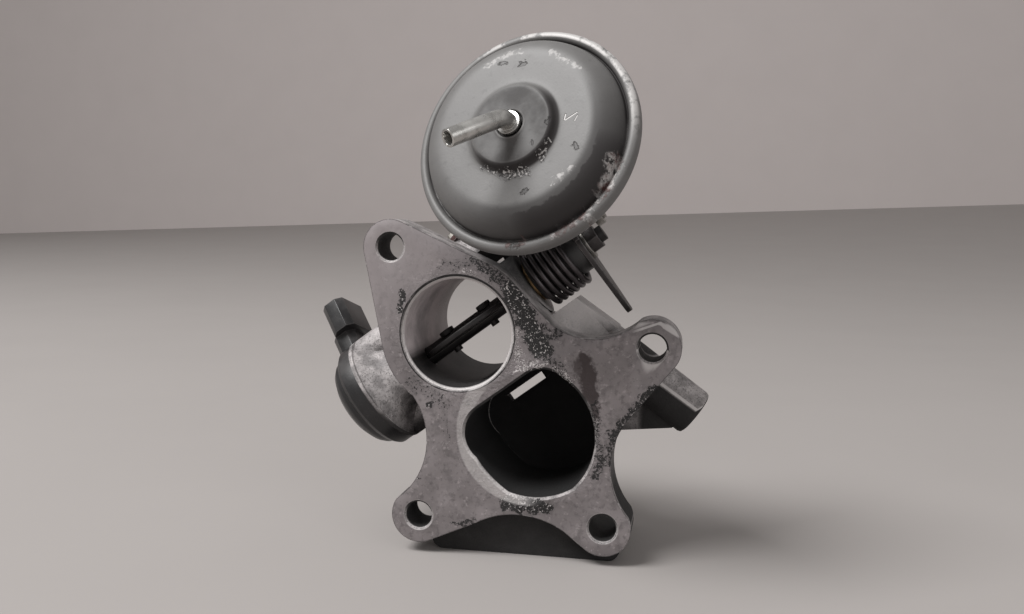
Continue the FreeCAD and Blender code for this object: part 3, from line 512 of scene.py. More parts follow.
def stained(t, kit, place, marks, up=(0, 0, 1)):
    """The strongest of several stains: (from, to, radius, weight) in millimetres across a flat face."""
    cover = None
    for (u1, v1), (u2, v2), radius, weight in marks:
        ends = [Vector((u * MM, 0, 0)) + Vector(up) * (v * MM) for u, v in ((u1, v1), (u2, v2))]
        made = t.node("ShaderNodeGroup")
        made.node_tree = kit.spot
        for key, value in (("Place", place), ("From", ends[0]), ("To", ends[1]), ("Radius", radius * MM)):
            t.put(made.inputs[key], value)
        mask = t.times(made.outputs["Mask"], weight)
        cover = mask if cover is None else t.most(cover, mask)
    return cover


# black scale on the flange's face: ends (x, z), radius and weight
SCALE_MARKS = (
    ((18.1, 14.8), (28.1, -3.8), 4.3, 1.0), ((10.3, 20.6), (17.5, 15.0), 2.4, 0.72),
    ((28.5, -0.5), (33.4, 0.9), 2.2, 0.7), ((28.2, -5.9), (34.7, -10.6), 2.2, 0.6),
    ((45.4, -21.4), (47.2, -38.0), 1.7, 0.62), ((48.6, -39.6), (46.4, -43.4), 2.2, 0.8),
    ((61.6, -18.2), (51.6, -31.6), 1.9, 0.85), ((51.0, -30.8), (50.4, -40.6), 1.5, 0.7),
    ((-15.4, -16.7), (-3.4, -23.4), 2.6, 0.5), ((-10.0, -24.1), (-9.6, -24.3), 1.5, 1.0),
    ((-18.4, 12.4), (-19.4, 6.2), 1.2, 0.95), ((16.8, -55.6), (30.0, -55.6), 2.7, 0.95),
    ((-0.4, -64.0), (5.8, -62.7), 1.1, 0.75), ((-13.0, -49.1), (-12.6, -49.3), 1.0, 0.95),
    ((-5.4, 22.7), (3.4, 22.5), 1.4, 0.5), ((5.1, 24.1), (11.7, 20.4), 2.0, 0.72),
    ((3.4, -22.6), (4.6, -22.2), 1.3, 0.55), ((-4.2, -26.6), (-2.4, -34.8), 1.4, 0.42),
    ((60.5, -17.6), (65.3, -15.6), 1.4, 1.0))
# pale corrosion: round the bore, over and beside the D-shaped port
CRUST_MARKS = (
    ((18.9, 2.0), (20.8, -8.6), 1.7, 0.9), ((19.5, -11.2), (29.3, -8.6), 1.3, 1.0),
    ((33.2, -10.6), (38.4, -14.6), 1.3, 0.9), ((0.4, 20.6), (5.4, 19.8), 1.0, 0.8),
    ((-14.6, -14.4), (-1.0, -22.3), 1.0, 0.62), ((-3.7, -36.6), (-3.0, -36.0), 2.0, 0.6),
    ((19.0, -53.2), (23.3, -54.4), 1.0, 0.9), ((46.1, -26.7), (46.6, -33.0), 0.9, 0.8),
    ((20.0, 10.5), (25.5, -1.0), 2.2, 0.55), ((17.6, -55.2), (29.0, -55.4), 2.0, 0.55),
    ((27.0, -5.0), (36.0, -9.5), 2.0, 0.5))
SMEAR_MARKS = (((42.0, -7.0), (44.4, -18.6), 2.9, 1.0), ((40.5, -9.0), (43.0, -14.0), 3.2, 0.8),
               ((44.6, -17.0), (46.0, -24.0), 1.8, 0.9))
BORE_RADIUS = 18.0 * MM
PORT_MIDDLE = (24.2 * MM, 0.0, -31.8 * MM)
HOLES = ((-22.8, 27.8), (63.3, -2.5), (-12.7, -61.5), (48.8, -61.7))


def cast_material(s):
    """The casting: machined front face, sand-cast sides, soot in the ports and crust round them."""
    kit = shared()
    material, t, shader = new_material("Cast aluminium")
    place = t.place()
    axes = t.node("ShaderNodeSeparateXYZ", {"Vector": place}).outputs
    normal = t.node("ShaderNodeSeparateXYZ", {"Vector": t.node("ShaderNodeNewGeometry").outputs["Normal"]})
    facing = t.ramp(t.times(normal.outputs["Y"], -1.0), 0.80, 0.97)
    front = t.times(facing, t.ramp(axes["Y"], 0.0002, 0.0006, 1.0, 0.0))
    near_front = t.ramp(axes["Y"], 0.0006, 0.0016, 1.0, 0.0)
    grain = use(t, kit.grain, Place=place, Scale=1500.0)
    # places in the flange's plane, and distances from the bore's axis and the D-port's middle
    flat = t.node("ShaderNodeCombineXYZ", {"X": axes["X"], "Z": axes["Z"]}).outputs["Vector"]
    torn = t.ragged(flat, (0.009, 0.0, 0.009), 320.0)
    from_bore = t.vector("LENGTH", flat)
    from_port = t.vector("DISTANCE", flat, PORT_MIDDLE)
    in_bore = t.ramp(from_bore, 0.0181, 0.0184, 1.0, 0.0)
    in_port = t.times(t.ramp(from_port, 0.0228, 0.0240, 1.0, 0.0), t.ramp(axes["Y"], 0.0006, 0.0014))
    scale = stained(t, kit, torn, SCALE_MARKS)
    crust = stained(t, kit, torn, CRUST_MARKS)
    smear = stained(t, kit, torn, SMEAR_MARKS)
    # patches of crust round the bore's mouth
    worn_side = t.ramp(t.noise(place, 95.0), 0.40, 0.60)
    mouth = t.times(t.band(from_bore, 0.0194, 0.0212, 0.0006), worn_side)
    crust = t.most(crust, t.times(mouth, 0.55))
    cover = t.times(scale, near_front)
    speck = use(t, kit.speck, Place=place, Scale=1150.0, Cover=cover,
                Crumbs=t.most(t.times(scale, 0.80), crust))
    fine = use(t, kit.speck, Place=place, Scale=2600.0, Cover=t.times(t.most(cover, crust), 0.62),
               Crumbs=crust)
    # machined face, cleaner towards the upper left ear
    cloud = t.noise(place, 75.0, 5.0, 0.6)
    blot = t.noise(place, 210.0, 5.0, 0.62)
    dull = t.noise(place, 24.0, 4.0, 0.7, (1.0, 1.0, 2.2))
    face = t.mix(t.ramp(cloud, 0.30, 0.72), shade(s.face, 0.82), shade(s.face, 1.16))
    face = t.mix(t.ramp(dull, 0.52, 0.75, 0.0, 0.45), face, shade(s.face, 0.56))
    face = t.mix(t.ramp(blot, 0.50, 0.66, 0.0, 0.50), face, shade(s.face, 0.45))
    face = t.mix(t.ramp(t.noise(place, 560.0, 5.0, 0.66), 0.52, 0.64, 0.0, 0.45), face, shade(s.face, 0.40))
    face = t.mix(t.ramp(t.noise(place, 430.0, 5.0, 0.68), 0.56, 0.66, 0.0, 0.40), face, shade(s.face, 2.0))
    clean = t.ramp(t.vector("DOT_PRODUCT", flat, (-0.70, 0.0, 0.70)), 0.006, 0.036)
    face = t.mix(t.times(clean, 0.62), face, shade(s.face, 1.62))
    face = t.mix(t.times(scale, 0.40), face, shade(s.face, 0.30))
    face = t.mix(t.times(smear, 0.93), face, s.smear)
    # cast skin
    skin = t.mix(t.ramp(grain["Mottle"], 0.34, 0.66), shade(s.skin, 0.60), shade(s.skin, 1.35))
    dark_grain = t.noise(place, 1700.0, 3.0, 0.6)
    skin = t.mix(t.ramp(dark_grain, 0.53, 0.63, 0.0, 0.62), skin, shade(s.skin, 0.26))
    tide = t.noise(place, 58.0, 5.0, 0.66)
    skin = t.mix(t.ramp(tide, 0.50, 0.66, 0.0, 0.55), skin, shade(s.skin, 0.22))
    # the foot is darkened towards the bottom; all that faces down and the neck's underside get painted
    # shade, and a painted highlight runs along the neck's parting line
    low = t.times(t.ramp(axes["Z"], -0.052, -0.026, 0.97, 0.0), t.ramp(axes["Y"], 0.0008, 0.0016))
    on_neck = t.ramp(axes["X"], 0.056, 0.060)
    underside_shade = t.ramp(normal.outputs["Z"], -0.50, 0.10, 0.93, 0.0)
    neck_underside_shade = t.times(on_neck, t.ramp(normal.outputs["Z"], 0.02, 0.10, 0.98, 0.0))
    grime_and_shade = t.most(t.most(low, underside_shade), neck_underside_shade)
    # a darker round patch beside the spring, and a paler one at the rear web
    by_spring = t.ramp(t.vector("DISTANCE", place, (0.0215, 0.0160, 0.0300)), 0.013, 0.022, 0.90, 0.0)
    rear_web = t.ramp(t.vector("DISTANCE", place, (0.0400, 0.0200, 0.0160)), 0.010, 0.024, 0.85, 0.0)
    skin = t.mix(rear_web, skin, s.crust)
    grime_and_shade = t.most(grime_and_shade, by_spring)
    # the bolt holes: painted shade on their walls; their edges get a painted highlight further down
    in_hole = None
    for x, z in HOLES:
        spot = t.ramp(t.vector("DISTANCE", flat, (x * MM, 0.0, z * MM)), 0.0050, 0.0056, 1.0, 0.0)
        in_hole = spot if in_hole is None else t.most(in_hole, spot)
    hole_wall_shade = t.times(in_hole, t.ramp(axes["Y"], 0.0008, 0.0014, 0.0, 0.90))
    grime_and_shade = t.most(grime_and_shade, hole_wall_shade)
    skin = t.mix(grime_and_shade, skin, shade(s.skin, 0.035))
    # a painted highlight along the ridge of the neck's parting line
    parting_highlight = t.times(on_neck, t.band(normal.outputs["Z"], 0.10, 0.16, 0.03))
    colour_now = t.mix(front, skin, face)
    shown = t.times(near_front, t.math("SUBTRACT", 1.0, in_bore))
    dark = t.times(t.most(speck["Dark"], t.times(fine["Dark"], 0.7)), shown)
    pale = t.times(t.most(speck["Pale"], fine["Pale"]), shown)
    colour_now = t.mix(t.times(dark, 0.95), colour_now, s.soot_and_shade)
    colour_now = t.mix(t.times(pale, 0.86), colour_now, s.crust)
    # the bore's wall: black along its bottom, soot and painted shadow together, pale above it, duller at the
    # rear
    low_side = t.vector("DOT_PRODUCT", t.ragged(flat, (0.004, 0.0, 0.004), 150.0), (-0.12, 0.0, -0.99))
    lean = t.math("DIVIDE", low_side, BORE_RADIUS)
    soot_and_shadow = t.ramp(lean, 0.36, 0.62)
    wall = t.mix(t.ramp(cloud, 0.35, 0.65), shade(s.face, 2.0), shade(s.face, 3.2))
    wall = t.mix(t.ramp(axes["Y"], 0.030, 0.048, 0.0, 0.6), wall, shade(s.skin, 0.8))
    wall = t.mix(t.times(soot_and_shadow, 0.98), wall, s.soot_and_shade)
    colour_now = t.mix(t.times(in_bore, t.ramp(axes["Y"], 0.0005, 0.0010)), colour_now, wall)
    colour_now = t.mix(in_port, colour_now, s.soot_and_shade)
    # the bore's mouth: a painted highlight ring on the lip, then a ring of painted shade for a groove
    lip_highlight = t.times(t.band(from_bore, 0.0181, 0.0186, 0.0002), near_front)
    groove_shade = t.times(t.band(from_bore, 0.0188, 0.0194, 0.0002), front)
    groove_shade = t.times(groove_shade, t.ramp(t.noise(place, 130.0), 0.36, 0.46, 0.35, 1.0))
    colour_now = t.mix(t.times(groove_shade, 0.96), colour_now, s.soot_and_shade)
    # edges: painted highlights on the holes' and the bore's edges, brightened at the left of the D-port,
    # worn bare in patches, mostly darkened elsewhere
    worn = use(t, kit.edge, Place=place, Width=0.0006, Amount=0.60, Grain=420.0)["Mask"]
    in_plane = t.vector("SUBTRACT", flat, PORT_MIDDLE)
    port_side = t.ramp(t.vector("DOT_PRODUCT", in_plane, (-0.93, 0.0, -0.37)), 0.004, 0.012)
    port_rim = t.times(t.band(from_port, 0.0200, 0.0236, 0.0008), port_side)
    bright_rims = t.most(t.most(port_rim, in_hole), lip_highlight)
    brightened = t.times(worn, t.most(bright_rims, t.ramp(blot, 0.54, 0.62, 0.0, 0.7)))
    brightened = t.most(brightened, t.times(t.times(port_rim, near_front), 0.45))
    brightened = t.most(t.times(brightened, t.math("SUBTRACT", 1.0, grime_and_shade)), t.times(parting_highlight, 0.7))
    brightened = t.most(brightened, t.times(lip_highlight, 0.8))
    dark_edges = t.times(t.times(worn, near_front), t.math("SUBTRACT", 1.0, bright_rims))
    colour_now = t.mix(t.times(dark_edges, 0.85), colour_now, s.soot_and_shade)
    scratch = t.times(use(t, kit.scratch, Place=place, Density=0.25)["Mask"],
                     t.times(front, 0.4))
    colour_now = t.mix(t.most(brightened, scratch), colour_now, s.bright)
    t.put(shader.inputs["Base Color"], colour_now)
    dark_places = t.most(t.most(in_port, dark), t.most(grime_and_shade, smear))
    metal = t.times(t.math("SUBTRACT", 1.0, dark_places), t.ramp(front, 0.0, 1.0, 0.15, 0.50))
    t.put(shader.inputs["Metallic"], metal)
    rough = t.ramp(front, 0.0, 1.0, 0.62, 0.44)
    rough = t.math("ADD", rough, t.times(t.math("SUBTRACT", cloud, 0.5), 0.22))
    t.put(shader.inputs["Roughness"], t.math("ADD", rough, t.times(dark_places, 0.25), clamp=True))
    height = t.times(grain["Height"], t.ramp(front, 0.0, 1.0, 1.0, 0.10))
    # the face is rough with scale close to both ports and right of the bore
    by_bore = t.ramp(from_bore, 0.0195, 0.0245, 1.0, 0.0)
    rough_patch = t.most(by_bore, t.ramp(from_port, 0.0240, 0.0275, 1.0, 0.0))
    lumps = t.times(t.noise(place, 1150.0, 3.0, 0.65), t.times(rough_patch, near_front))
    height = t.math("ADD", height, t.times(lumps, 1.5))
    t.put(shader.inputs["Normal"], t.bump(height, 0.00024, 0.9))
    return material


# marks on the can's cover, across the rod's axis: pale crumbs, dents and scratches
CRUMB_MARKS = (((-13.4, 5.2), (-9.6, 10.8), 1.0, 0.9), ((-9.6, 10.8), (-3.5, 14.6), 1.6, 1.0),
               ((2.0, 13.8), (6.4, 11.9), 1.2, 1.0))
DENT_MARKS = (((-7.2, 19.6), (-6.6, 19.2), 0.9, 1.0), ((11.4, 17.2), (11.6, 16.6), 0.9, 0.8),
              ((12.8, -15.9), (11.6, -16.6), 0.8, 0.8), ((7.9, -20.3), (7.0, -20.6), 0.7, 0.7),
              ((9.3, 6.8), (8.9, 7.5), 0.8, 1.0), ((2.1, 9.8), (2.6, 9.6), 0.6, 0.9),
              ((-18.8, 27.4), (-17.9, 28.3), 1.2, 1.0))
NICK_MARKS = (((14.3, 7.2), (13.2, 8.3), 0.30, 1.0), ((13.4, 8.6), (17.2, 8.9), 0.26, 1.0),
              ((15.4, 10.6), (16.8, 9.8), 0.25, 0.8))
PEEL_MARKS = (((18.4, 25.4), (12.2, 29.9), 1.9, 1.0), ((12.2, 29.9), (2.6, 33.2), 1.7, 0.9),
              ((2.6, 33.2), (-8.0, 32.2), 1.1, 0.7), ((-16.0, 28.4), (-20.0, 26.0), 1.1, 0.7))
# rubbed steel on the shoulder: the first mark is wear, the other two are a painted highlight on the
# shoulder's upper right
RUBBED_AND_HIGHLIGHT_MARKS = (((7.4, 22.2), (0.6, 22.8), 0.9, 0.8), ((20.5, -14.0), (24.6, -3.0), 0.9, 0.55),
                ((2.0, -24.6), (14.0, -20.6), 0.9, 0.5))


def can_material(s, name, rusty, marked=False):
    """Grey zinc coat, worn to steel on the edges. The cover alone is marked with its dents, crumbs and
    peeled coat, with painted shade in its hollows and on its lower right, and painted highlights on its rim
    and shoulder.
    """
    kit = shared()
    material, t, shader = new_material(name)
    place = t.place()
    cloud = t.noise(place, 60.0, 5.0, 0.6)
    coat = t.mix(t.ramp(cloud, 0.30, 0.70), shade(s.paint, 0.90), shade(s.paint, 1.08))
    dull = t.noise(place, 17.0, 3.0, 0.6)
    coat = t.mix(t.ramp(dull, 0.50, 0.78, 0.0, 0.4), coat, shade(s.paint, 0.70))
    fleck = t.noise(place, 420.0, 5.0, 0.66)
    coat = t.mix(t.ramp(fleck, 0.56, 0.68, 0.0, 0.30), coat, shade(s.paint, 0.55))
    rust_field = t.noise(place, 85.0, 6.0, 0.68)
    rust = t.ramp(rust_field, 0.40 if rusty else 0.70, 0.54 if rusty else 0.80)
    coat = t.mix(t.times(rust, 0.92 if rusty else 0.30), coat, s.rust)
    if rusty:
        coat = t.mix(t.ramp(t.noise(place, 150.0, 5.0, 0.66), 0.46, 0.60, 0.0, 0.85), coat, s.grime_and_shade)
    worn = use(t, kit.edge, Place=place, Width=0.0009, Amount=0.18 if rusty else 0.55, Grain=260.0)["Mask"]
    scratch = use(t, kit.scratch, Place=place, Density=0.35)["Mask"]
    brightened = t.most(worn, t.times(scratch, 0.25 if rusty else 0.45))
    dents_and_nick_shadow = rust
    darkening = rust
    if marked:
        from_rod = t.vector("SUBTRACT", place, rod_frame(s).translation)
        along = [t.vector("DOT_PRODUCT", from_rod, rod_frame(s).col[i].xyz) for i in range(3)]
        across = t.node("ShaderNodeCombineXYZ", {"X": along[0], "Y": along[1]}).outputs["Vector"]
        torn = t.ragged(across, (0.005, 0.005, 0.0), 380.0)
        away = t.vector("LENGTH", across)
        torn_away = t.vector("LENGTH", t.ragged(across, (0.004, 0.004, 0.0), 240.0))
        level = along[2]
        lower_right, upper_right = [
            t.math("DIVIDE", t.vector("DOT_PRODUCT", across, towards), t.most(away, 1.0 * MM))
            for towards in ((0.14, 0.99, 0.0), (0.90, -0.44, 0.0))]
        # painted shade on the lower right of the dome's slope, partly a real dark blotch with a ragged edge,
        # on the boss's lower right side and its face, in the crimp's gap and in the nipple's recess
        slope_shade_and_blotch = t.times(t.band(torn_away, 0.0262, 0.0312, 0.0012), t.ramp(lower_right, 0.45, 0.90))
        wide_slope_shade = t.times(t.band(away, 0.0250, 0.0312, 0.0025),
                             t.ramp(lower_right, -0.10, 0.80, 0.0, 0.72))
        boss_side_shade = t.times(t.band(away, 0.0122, 0.0138, 0.0008), t.ramp(lower_right, -0.45, 0.30))
        patchy = t.ramp(t.noise(place, 40.0), 0.40, 0.55, 0.45, 0.9)
        gap = t.times(t.band(away, 0.0311, 0.0318, 0.0003), t.most(t.ramp(upper_right, 0.25, 0.60), patchy))
        recess = t.ramp(away, 0.0030, 0.0040, 1.0, 0.0)
        darkening = t.most(t.most(slope_shade_and_blotch, wide_slope_shade), t.most(boss_side_shade, gap))
        boss_face_shade = t.times(t.ramp(away, 0.0110, 0.0128, 1.0, 0.0), t.ramp(cloud, 0.35, 0.60, 0.35, 0.78))
        darkening = t.most(t.most(darkening, recess), boss_face_shade)
        coat = t.mix(t.times(darkening, 0.95), coat, s.grime_and_shade)
        peel = t.times(stained(t, kit, torn, PEEL_MARKS, (0, 1, 0)), t.ramp(fleck, 0.40, 0.50))
        coat = t.mix(peel, coat, t.mix(t.ramp(rust_field, 0.44, 0.56), s.bright, s.rust))
        crumbs = stained(t, kit, torn, CRUMB_MARKS, (0, 1, 0))
        speck = use(t, kit.speck, Place=place, Scale=1100.0, Cover=t.times(crumbs, 0.75),
                    Crumbs=crumbs)
        coat = t.mix(t.times(t.times(speck["Dark"], crumbs), 0.8), coat, s.grime_and_shade)
        flat_top = t.ramp(away, 0.0124, 0.0130)
        coat = t.mix(t.times(t.times(speck["Pale"], crumbs), flat_top), coat, s.bright)
        nick = stained(t, kit, across, NICK_MARKS, (0, 1, 0))
        rub_and_highlight = t.times(stained(t, kit, torn, RUBBED_AND_HIGHLIGHT_MARKS, (0, 1, 0)), t.ramp(fleck, 0.42, 0.56))
        # a painted highlight on the upper right of the rim, partly worn steel
        rim_highlight_and_wear = t.times(t.band(away, 0.0330, 0.0347, 0.0004), t.ramp(upper_right, 0.30, 0.75))
        rim_highlight_and_wear = t.times(rim_highlight_and_wear, t.ramp(t.noise(place, 170.0, 5.0, 0.66), 0.42, 0.54))
        ring = t.times(t.ramp(level, -0.0655, -0.0625, 1.0, 0.0), t.band(away, 0.0036, 0.0046, 0.0003))
        brightened = t.most(t.most(brightened, nick), t.most(rub_and_highlight, rim_highlight_and_wear))
        brightened = t.most(t.times(brightened, t.math("SUBTRACT", 1.0, darkening)), t.times(ring, 0.3))
        # the dents are darker; at the nicks the darker coat is a painted shadow round the bright scratch
        dents_and_nick_shadow = t.math("ADD", stained(t, kit, torn, DENT_MARKS, (0, 1, 0)), nick)
        coat = t.mix(t.times(dents_and_nick_shadow, 0.55), coat, s.grime_and_shade)
    t.put(shader.inputs["Base Color"], t.mix(brightened, coat, s.bright))
    clean = t.math("SUBTRACT", 1.0, t.most(rust, darkening))
    t.put(shader.inputs["Metallic"], t.times(clean, 0.12 if marked else 0.5))
    rough = t.math("ADD", 0.44, t.times(cloud, 0.18))
    t.put(shader.inputs["Roughness"], t.math("ADD", rough, t.times(darkening, 0.2), clamp=True))
    height = t.math("ADD", t.times(t.noise(place, 1800.0, 2.0), 0.22), t.times(rust, 0.8))
    height = t.math("ADD", height, t.times(t.noise(place, 140.0, 3.0), 0.7))
    if marked:
        height = t.math("SUBTRACT", height, t.times(dents_and_nick_shadow, 2.6))
        height = t.math("ADD", height, t.times(speck["Height"], t.times(crumbs, 3.0)))
        height = t.math("ADD", height, t.times(peel, 1.2))
    t.put(shader.inputs["Normal"], t.bump(height, 0.00014, 0.8))
    return material


def steel_material(name, base, bright, metallic=0.85, roughness=0.36, darkening=0.4, wear=0.6):
    """Oiled or plated steel: dark grime in patches, bare metal on the edges."""
    kit = shared()
    material, t, shader = new_material(name)
    place = t.place()
    cloud = t.noise(place, 220.0, 5.0, 0.62)
    tone = t.mix(t.ramp(cloud, 0.3, 0.7), shade(base, 0.75), shade(base, 1.3))
    tone = t.mix(t.ramp(t.noise(place, 110.0, 5.0, 0.66), 0.50, 0.66, 0.0, darkening), tone, shade(base, 0.14))
    worn = use(t, kit.edge, Place=place, Width=0.0004, Amount=wear, Grain=700.0)["Mask"]
    scratch = use(t, kit.scratch, Place=place, Density=0.4)["Mask"]
    brightened = t.most(worn, t.times(scratch, wear))
    t.put(shader.inputs["Base Color"], t.mix(brightened, tone, bright))
    t.put(shader.inputs["Metallic"], metallic)
    t.put(shader.inputs["Roughness"], t.math("ADD", roughness - 0.1, t.times(cloud, 0.25), clamp=True))
    t.put(shader.inputs["Normal"], t.bump(t.noise(place, 1500.0, 4.0, 0.6), 0.00006, 0.7))
    return material


def plastic_material(name, base, dust, amount=0.5, roughness=0.42):
    """Glass-filled black moulding: satin, finely grained, dusty on top."""
    kit = shared()
    material, t, shader = new_material(name)
    place = t.place()
    cloud = t.noise(place, 130.0, 5.0, 0.6)
    up = t.node("ShaderNodeSeparateXYZ", {"Vector": t.node("ShaderNodeNewGeometry").outputs["Normal"]})
    settled = t.times(t.ramp(up.outputs["Z"], 0.1, 0.95), t.ramp(cloud, 0.36, 0.72))
    fine = t.ramp(t.noise(place, 2600.0, 2.0), 0.52, 0.7, 0.0, 0.35)
    cover = t.times(t.most(settled, t.times(fine, cloud)), amount)
    tone = t.mix(t.ramp(cloud, 0.3, 0.7), shade(base, 0.8), shade(base, 1.5))
    worn = use(t, kit.edge, Place=place, Width=0.0005, Amount=0.22, Grain=600.0)["Mask"]
    tone = t.mix(cover, tone, dust)
    t.put(shader.inputs["Base Color"], t.mix(worn, tone, shade(dust, 1.1)))
    t.put(shader.inputs["Roughness"], t.math("ADD", roughness - 0.08, t.times(cloud, 0.2), clamp=True))
    height = t.math("ADD", t.noise(place, 2200.0, 3.0), t.times(cloud, 0.7))
    t.put(shader.inputs["Normal"], t.bump(height, 0.00005, 0.6))
    return material


def rubber_material(name, base):
    material, t, shader = new_material(name)
    place = t.place()
    cloud = t.noise(place, 240.0, 4.0)
    t.put(shader.inputs["Base Color"], t.mix(cloud, shade(base, 0.7), shade(base, 1.5)))
    t.put(shader.inputs["Roughness"], t.ramp(cloud, 0.2, 0.8, 0.6, 0.85))
    t.put(shader.inputs["Normal"], t.bump(t.noise(place, 1800.0), 0.00005, 0.5))
    return material


def plain_material(name, base):
    """Matt paint with the faintest unevenness, for the floor and the backdrop."""
    material, t, shader = new_material(name)
    cloud = t.noise(t.place(), 9.0, 3.0)
    t.put(shader.inputs["Base Color"], t.mix(cloud, shade(base, 0.97), shade(base, 1.03)))
    shader.inputs["Roughness"].default_value = 0.75
    shader.inputs["Specular IOR Level"].default_value = 0.25
    return material


# Operators

class VALVE_OT_casting(bpy.types.Operator):
    """Finish the casting: rounded edges, machined face, cast skin and soot"""
    bl_idname = "valve.casting"
    bl_label = "Casting"

    def execute(self, context):
        s = context.scene.valve_casting
        dressed("housing", "casting", cast_material(s), s.edge, 2)
        return {"FINISHED"}


class VALVE_OT_flap(bpy.types.Operator):
    """Finish the flap, its shaft and its screws in the bore"""
    bl_idname = "valve.flap"
    bl_label = "Flap and shaft"

    def execute(self, context):
        steel = steel_material("Sooty shaft steel", (0.020, 0.018, 0.018), (0.10, 0.095, 0.09),
                               0.5, 0.5, 0.7, 0.3)
        dressed("flap_shaft", "shaft", steel, 0.15 * MM)
        dressed("flap_disc", "disc", steel, 0.2 * MM)
        dressed("flap_screws", "disc_screws", steel, 0.25 * MM)
        return {"FINISHED"}


class VALVE_OT_can(bpy.types.Operator):
    """Press the vacuum can's cover and rear shell"""
    bl_idname = "valve.can"
    bl_label = "Vacuum can"

    def execute(self, context):
        s = context.scene.valve_can
        place = rod_frame(s)
        rim = s.rim_station / MM
        r = s.radius / MM
        # the cover from the folded crimp over the dark gap, the dome and the boss to the nipple's recess
        rings = [(r - 2.6, rim + 2.4), (r - 1.0, rim + 2.5), (r - 0.12, rim + 2.1), (r, rim + 1.0),
                 (r, rim - 0.7), (r - 0.2, rim - 1.5), (r - 0.8, rim - 2.15), (r - 1.7, rim - 2.35),
                 (r - 2.5, rim - 2.15), (r - 3.0, rim - 1.5), (r - 3.35, rim - 0.75), (r - 3.65, rim - 0.75),
                 (r - 3.85, rim - 1.4), (r - 4.05, rim - 2.6), (r - 4.6, rim - 4.2), (29.5, rim - 5.7),
                 (28.2, rim - 7.1), (26.6, rim - 8.2), (24.9, rim - 8.75), (23.2, rim - 8.95),
                 (20.0, rim - 9.0), (16.0, rim - 9.0), (14.7, rim - 9.1), (13.9, rim - 9.35),
                 (13.3, rim - 9.85), (12.95, rim - 10.6), (12.65, rim - 11.25), (12.15, rim - 11.6),
                 (11.4, rim - 11.78), (10.4, rim - 11.8), (7.0, rim - 11.8), (5.2, rim - 11.82),
                 (4.75, rim - 12.0), (4.35, rim - 12.05), (4.05, rim - 11.8), (3.95, rim - 11.0),
                 (3.75, rim - 10.3), (2.7, rim - 10.2)]
        cover = turned("can_cover", [(radius * MM, height * MM) for radius, height in rings], 80, 2)
        seat(cover, place)
        finish_piece(cover, can_material(s, "Zinc grey cover", False, True), "valve_body", "can_front")
        floor = rim + 18.0
        rings = [(r - 1.2, rim + 0.7), (r - 1.2, rim + 1.5), (r - 3.0, rim + 1.7), (30.2, rim + 1.7),
                 (29.6, rim + 2.4), (29.3, rim + 6.0), (28.8, floor - 6.6), (28.0, floor - 3.6),
                 (26.4, floor - 1.4), (24.4, floor - 0.3), (22.0, floor), (14.0, floor),
                 (5.02, floor), (5.02, floor - 0.9)]
        rear = turned("can_shell", [(radius * MM, height * MM) for radius, height in rings], 80, 2)
        seat(rear, place)
        finish_piece(rear, can_material(s, "Rusty rear shell", True), "valve_body", "can_rear")
        return {"FINISHED"}


class VALVE_OT_nipple(bpy.types.Operator):
    """Finish the bent vacuum nipple: rounded edges and plated steel"""
    bl_idname = "valve.nipple"
    bl_label = "Vacuum nipple"

    def execute(self, context):
        steel = steel_material("Plated tube", (0.50, 0.49, 0.47), (0.80, 0.79, 0.77),
                               0.9, 0.26, 0.45, 0.3)
        dressed("vacuum_nipple", "nipple", steel, 0.12 * MM, 2, 40.0)
        return {"FINISHED"}


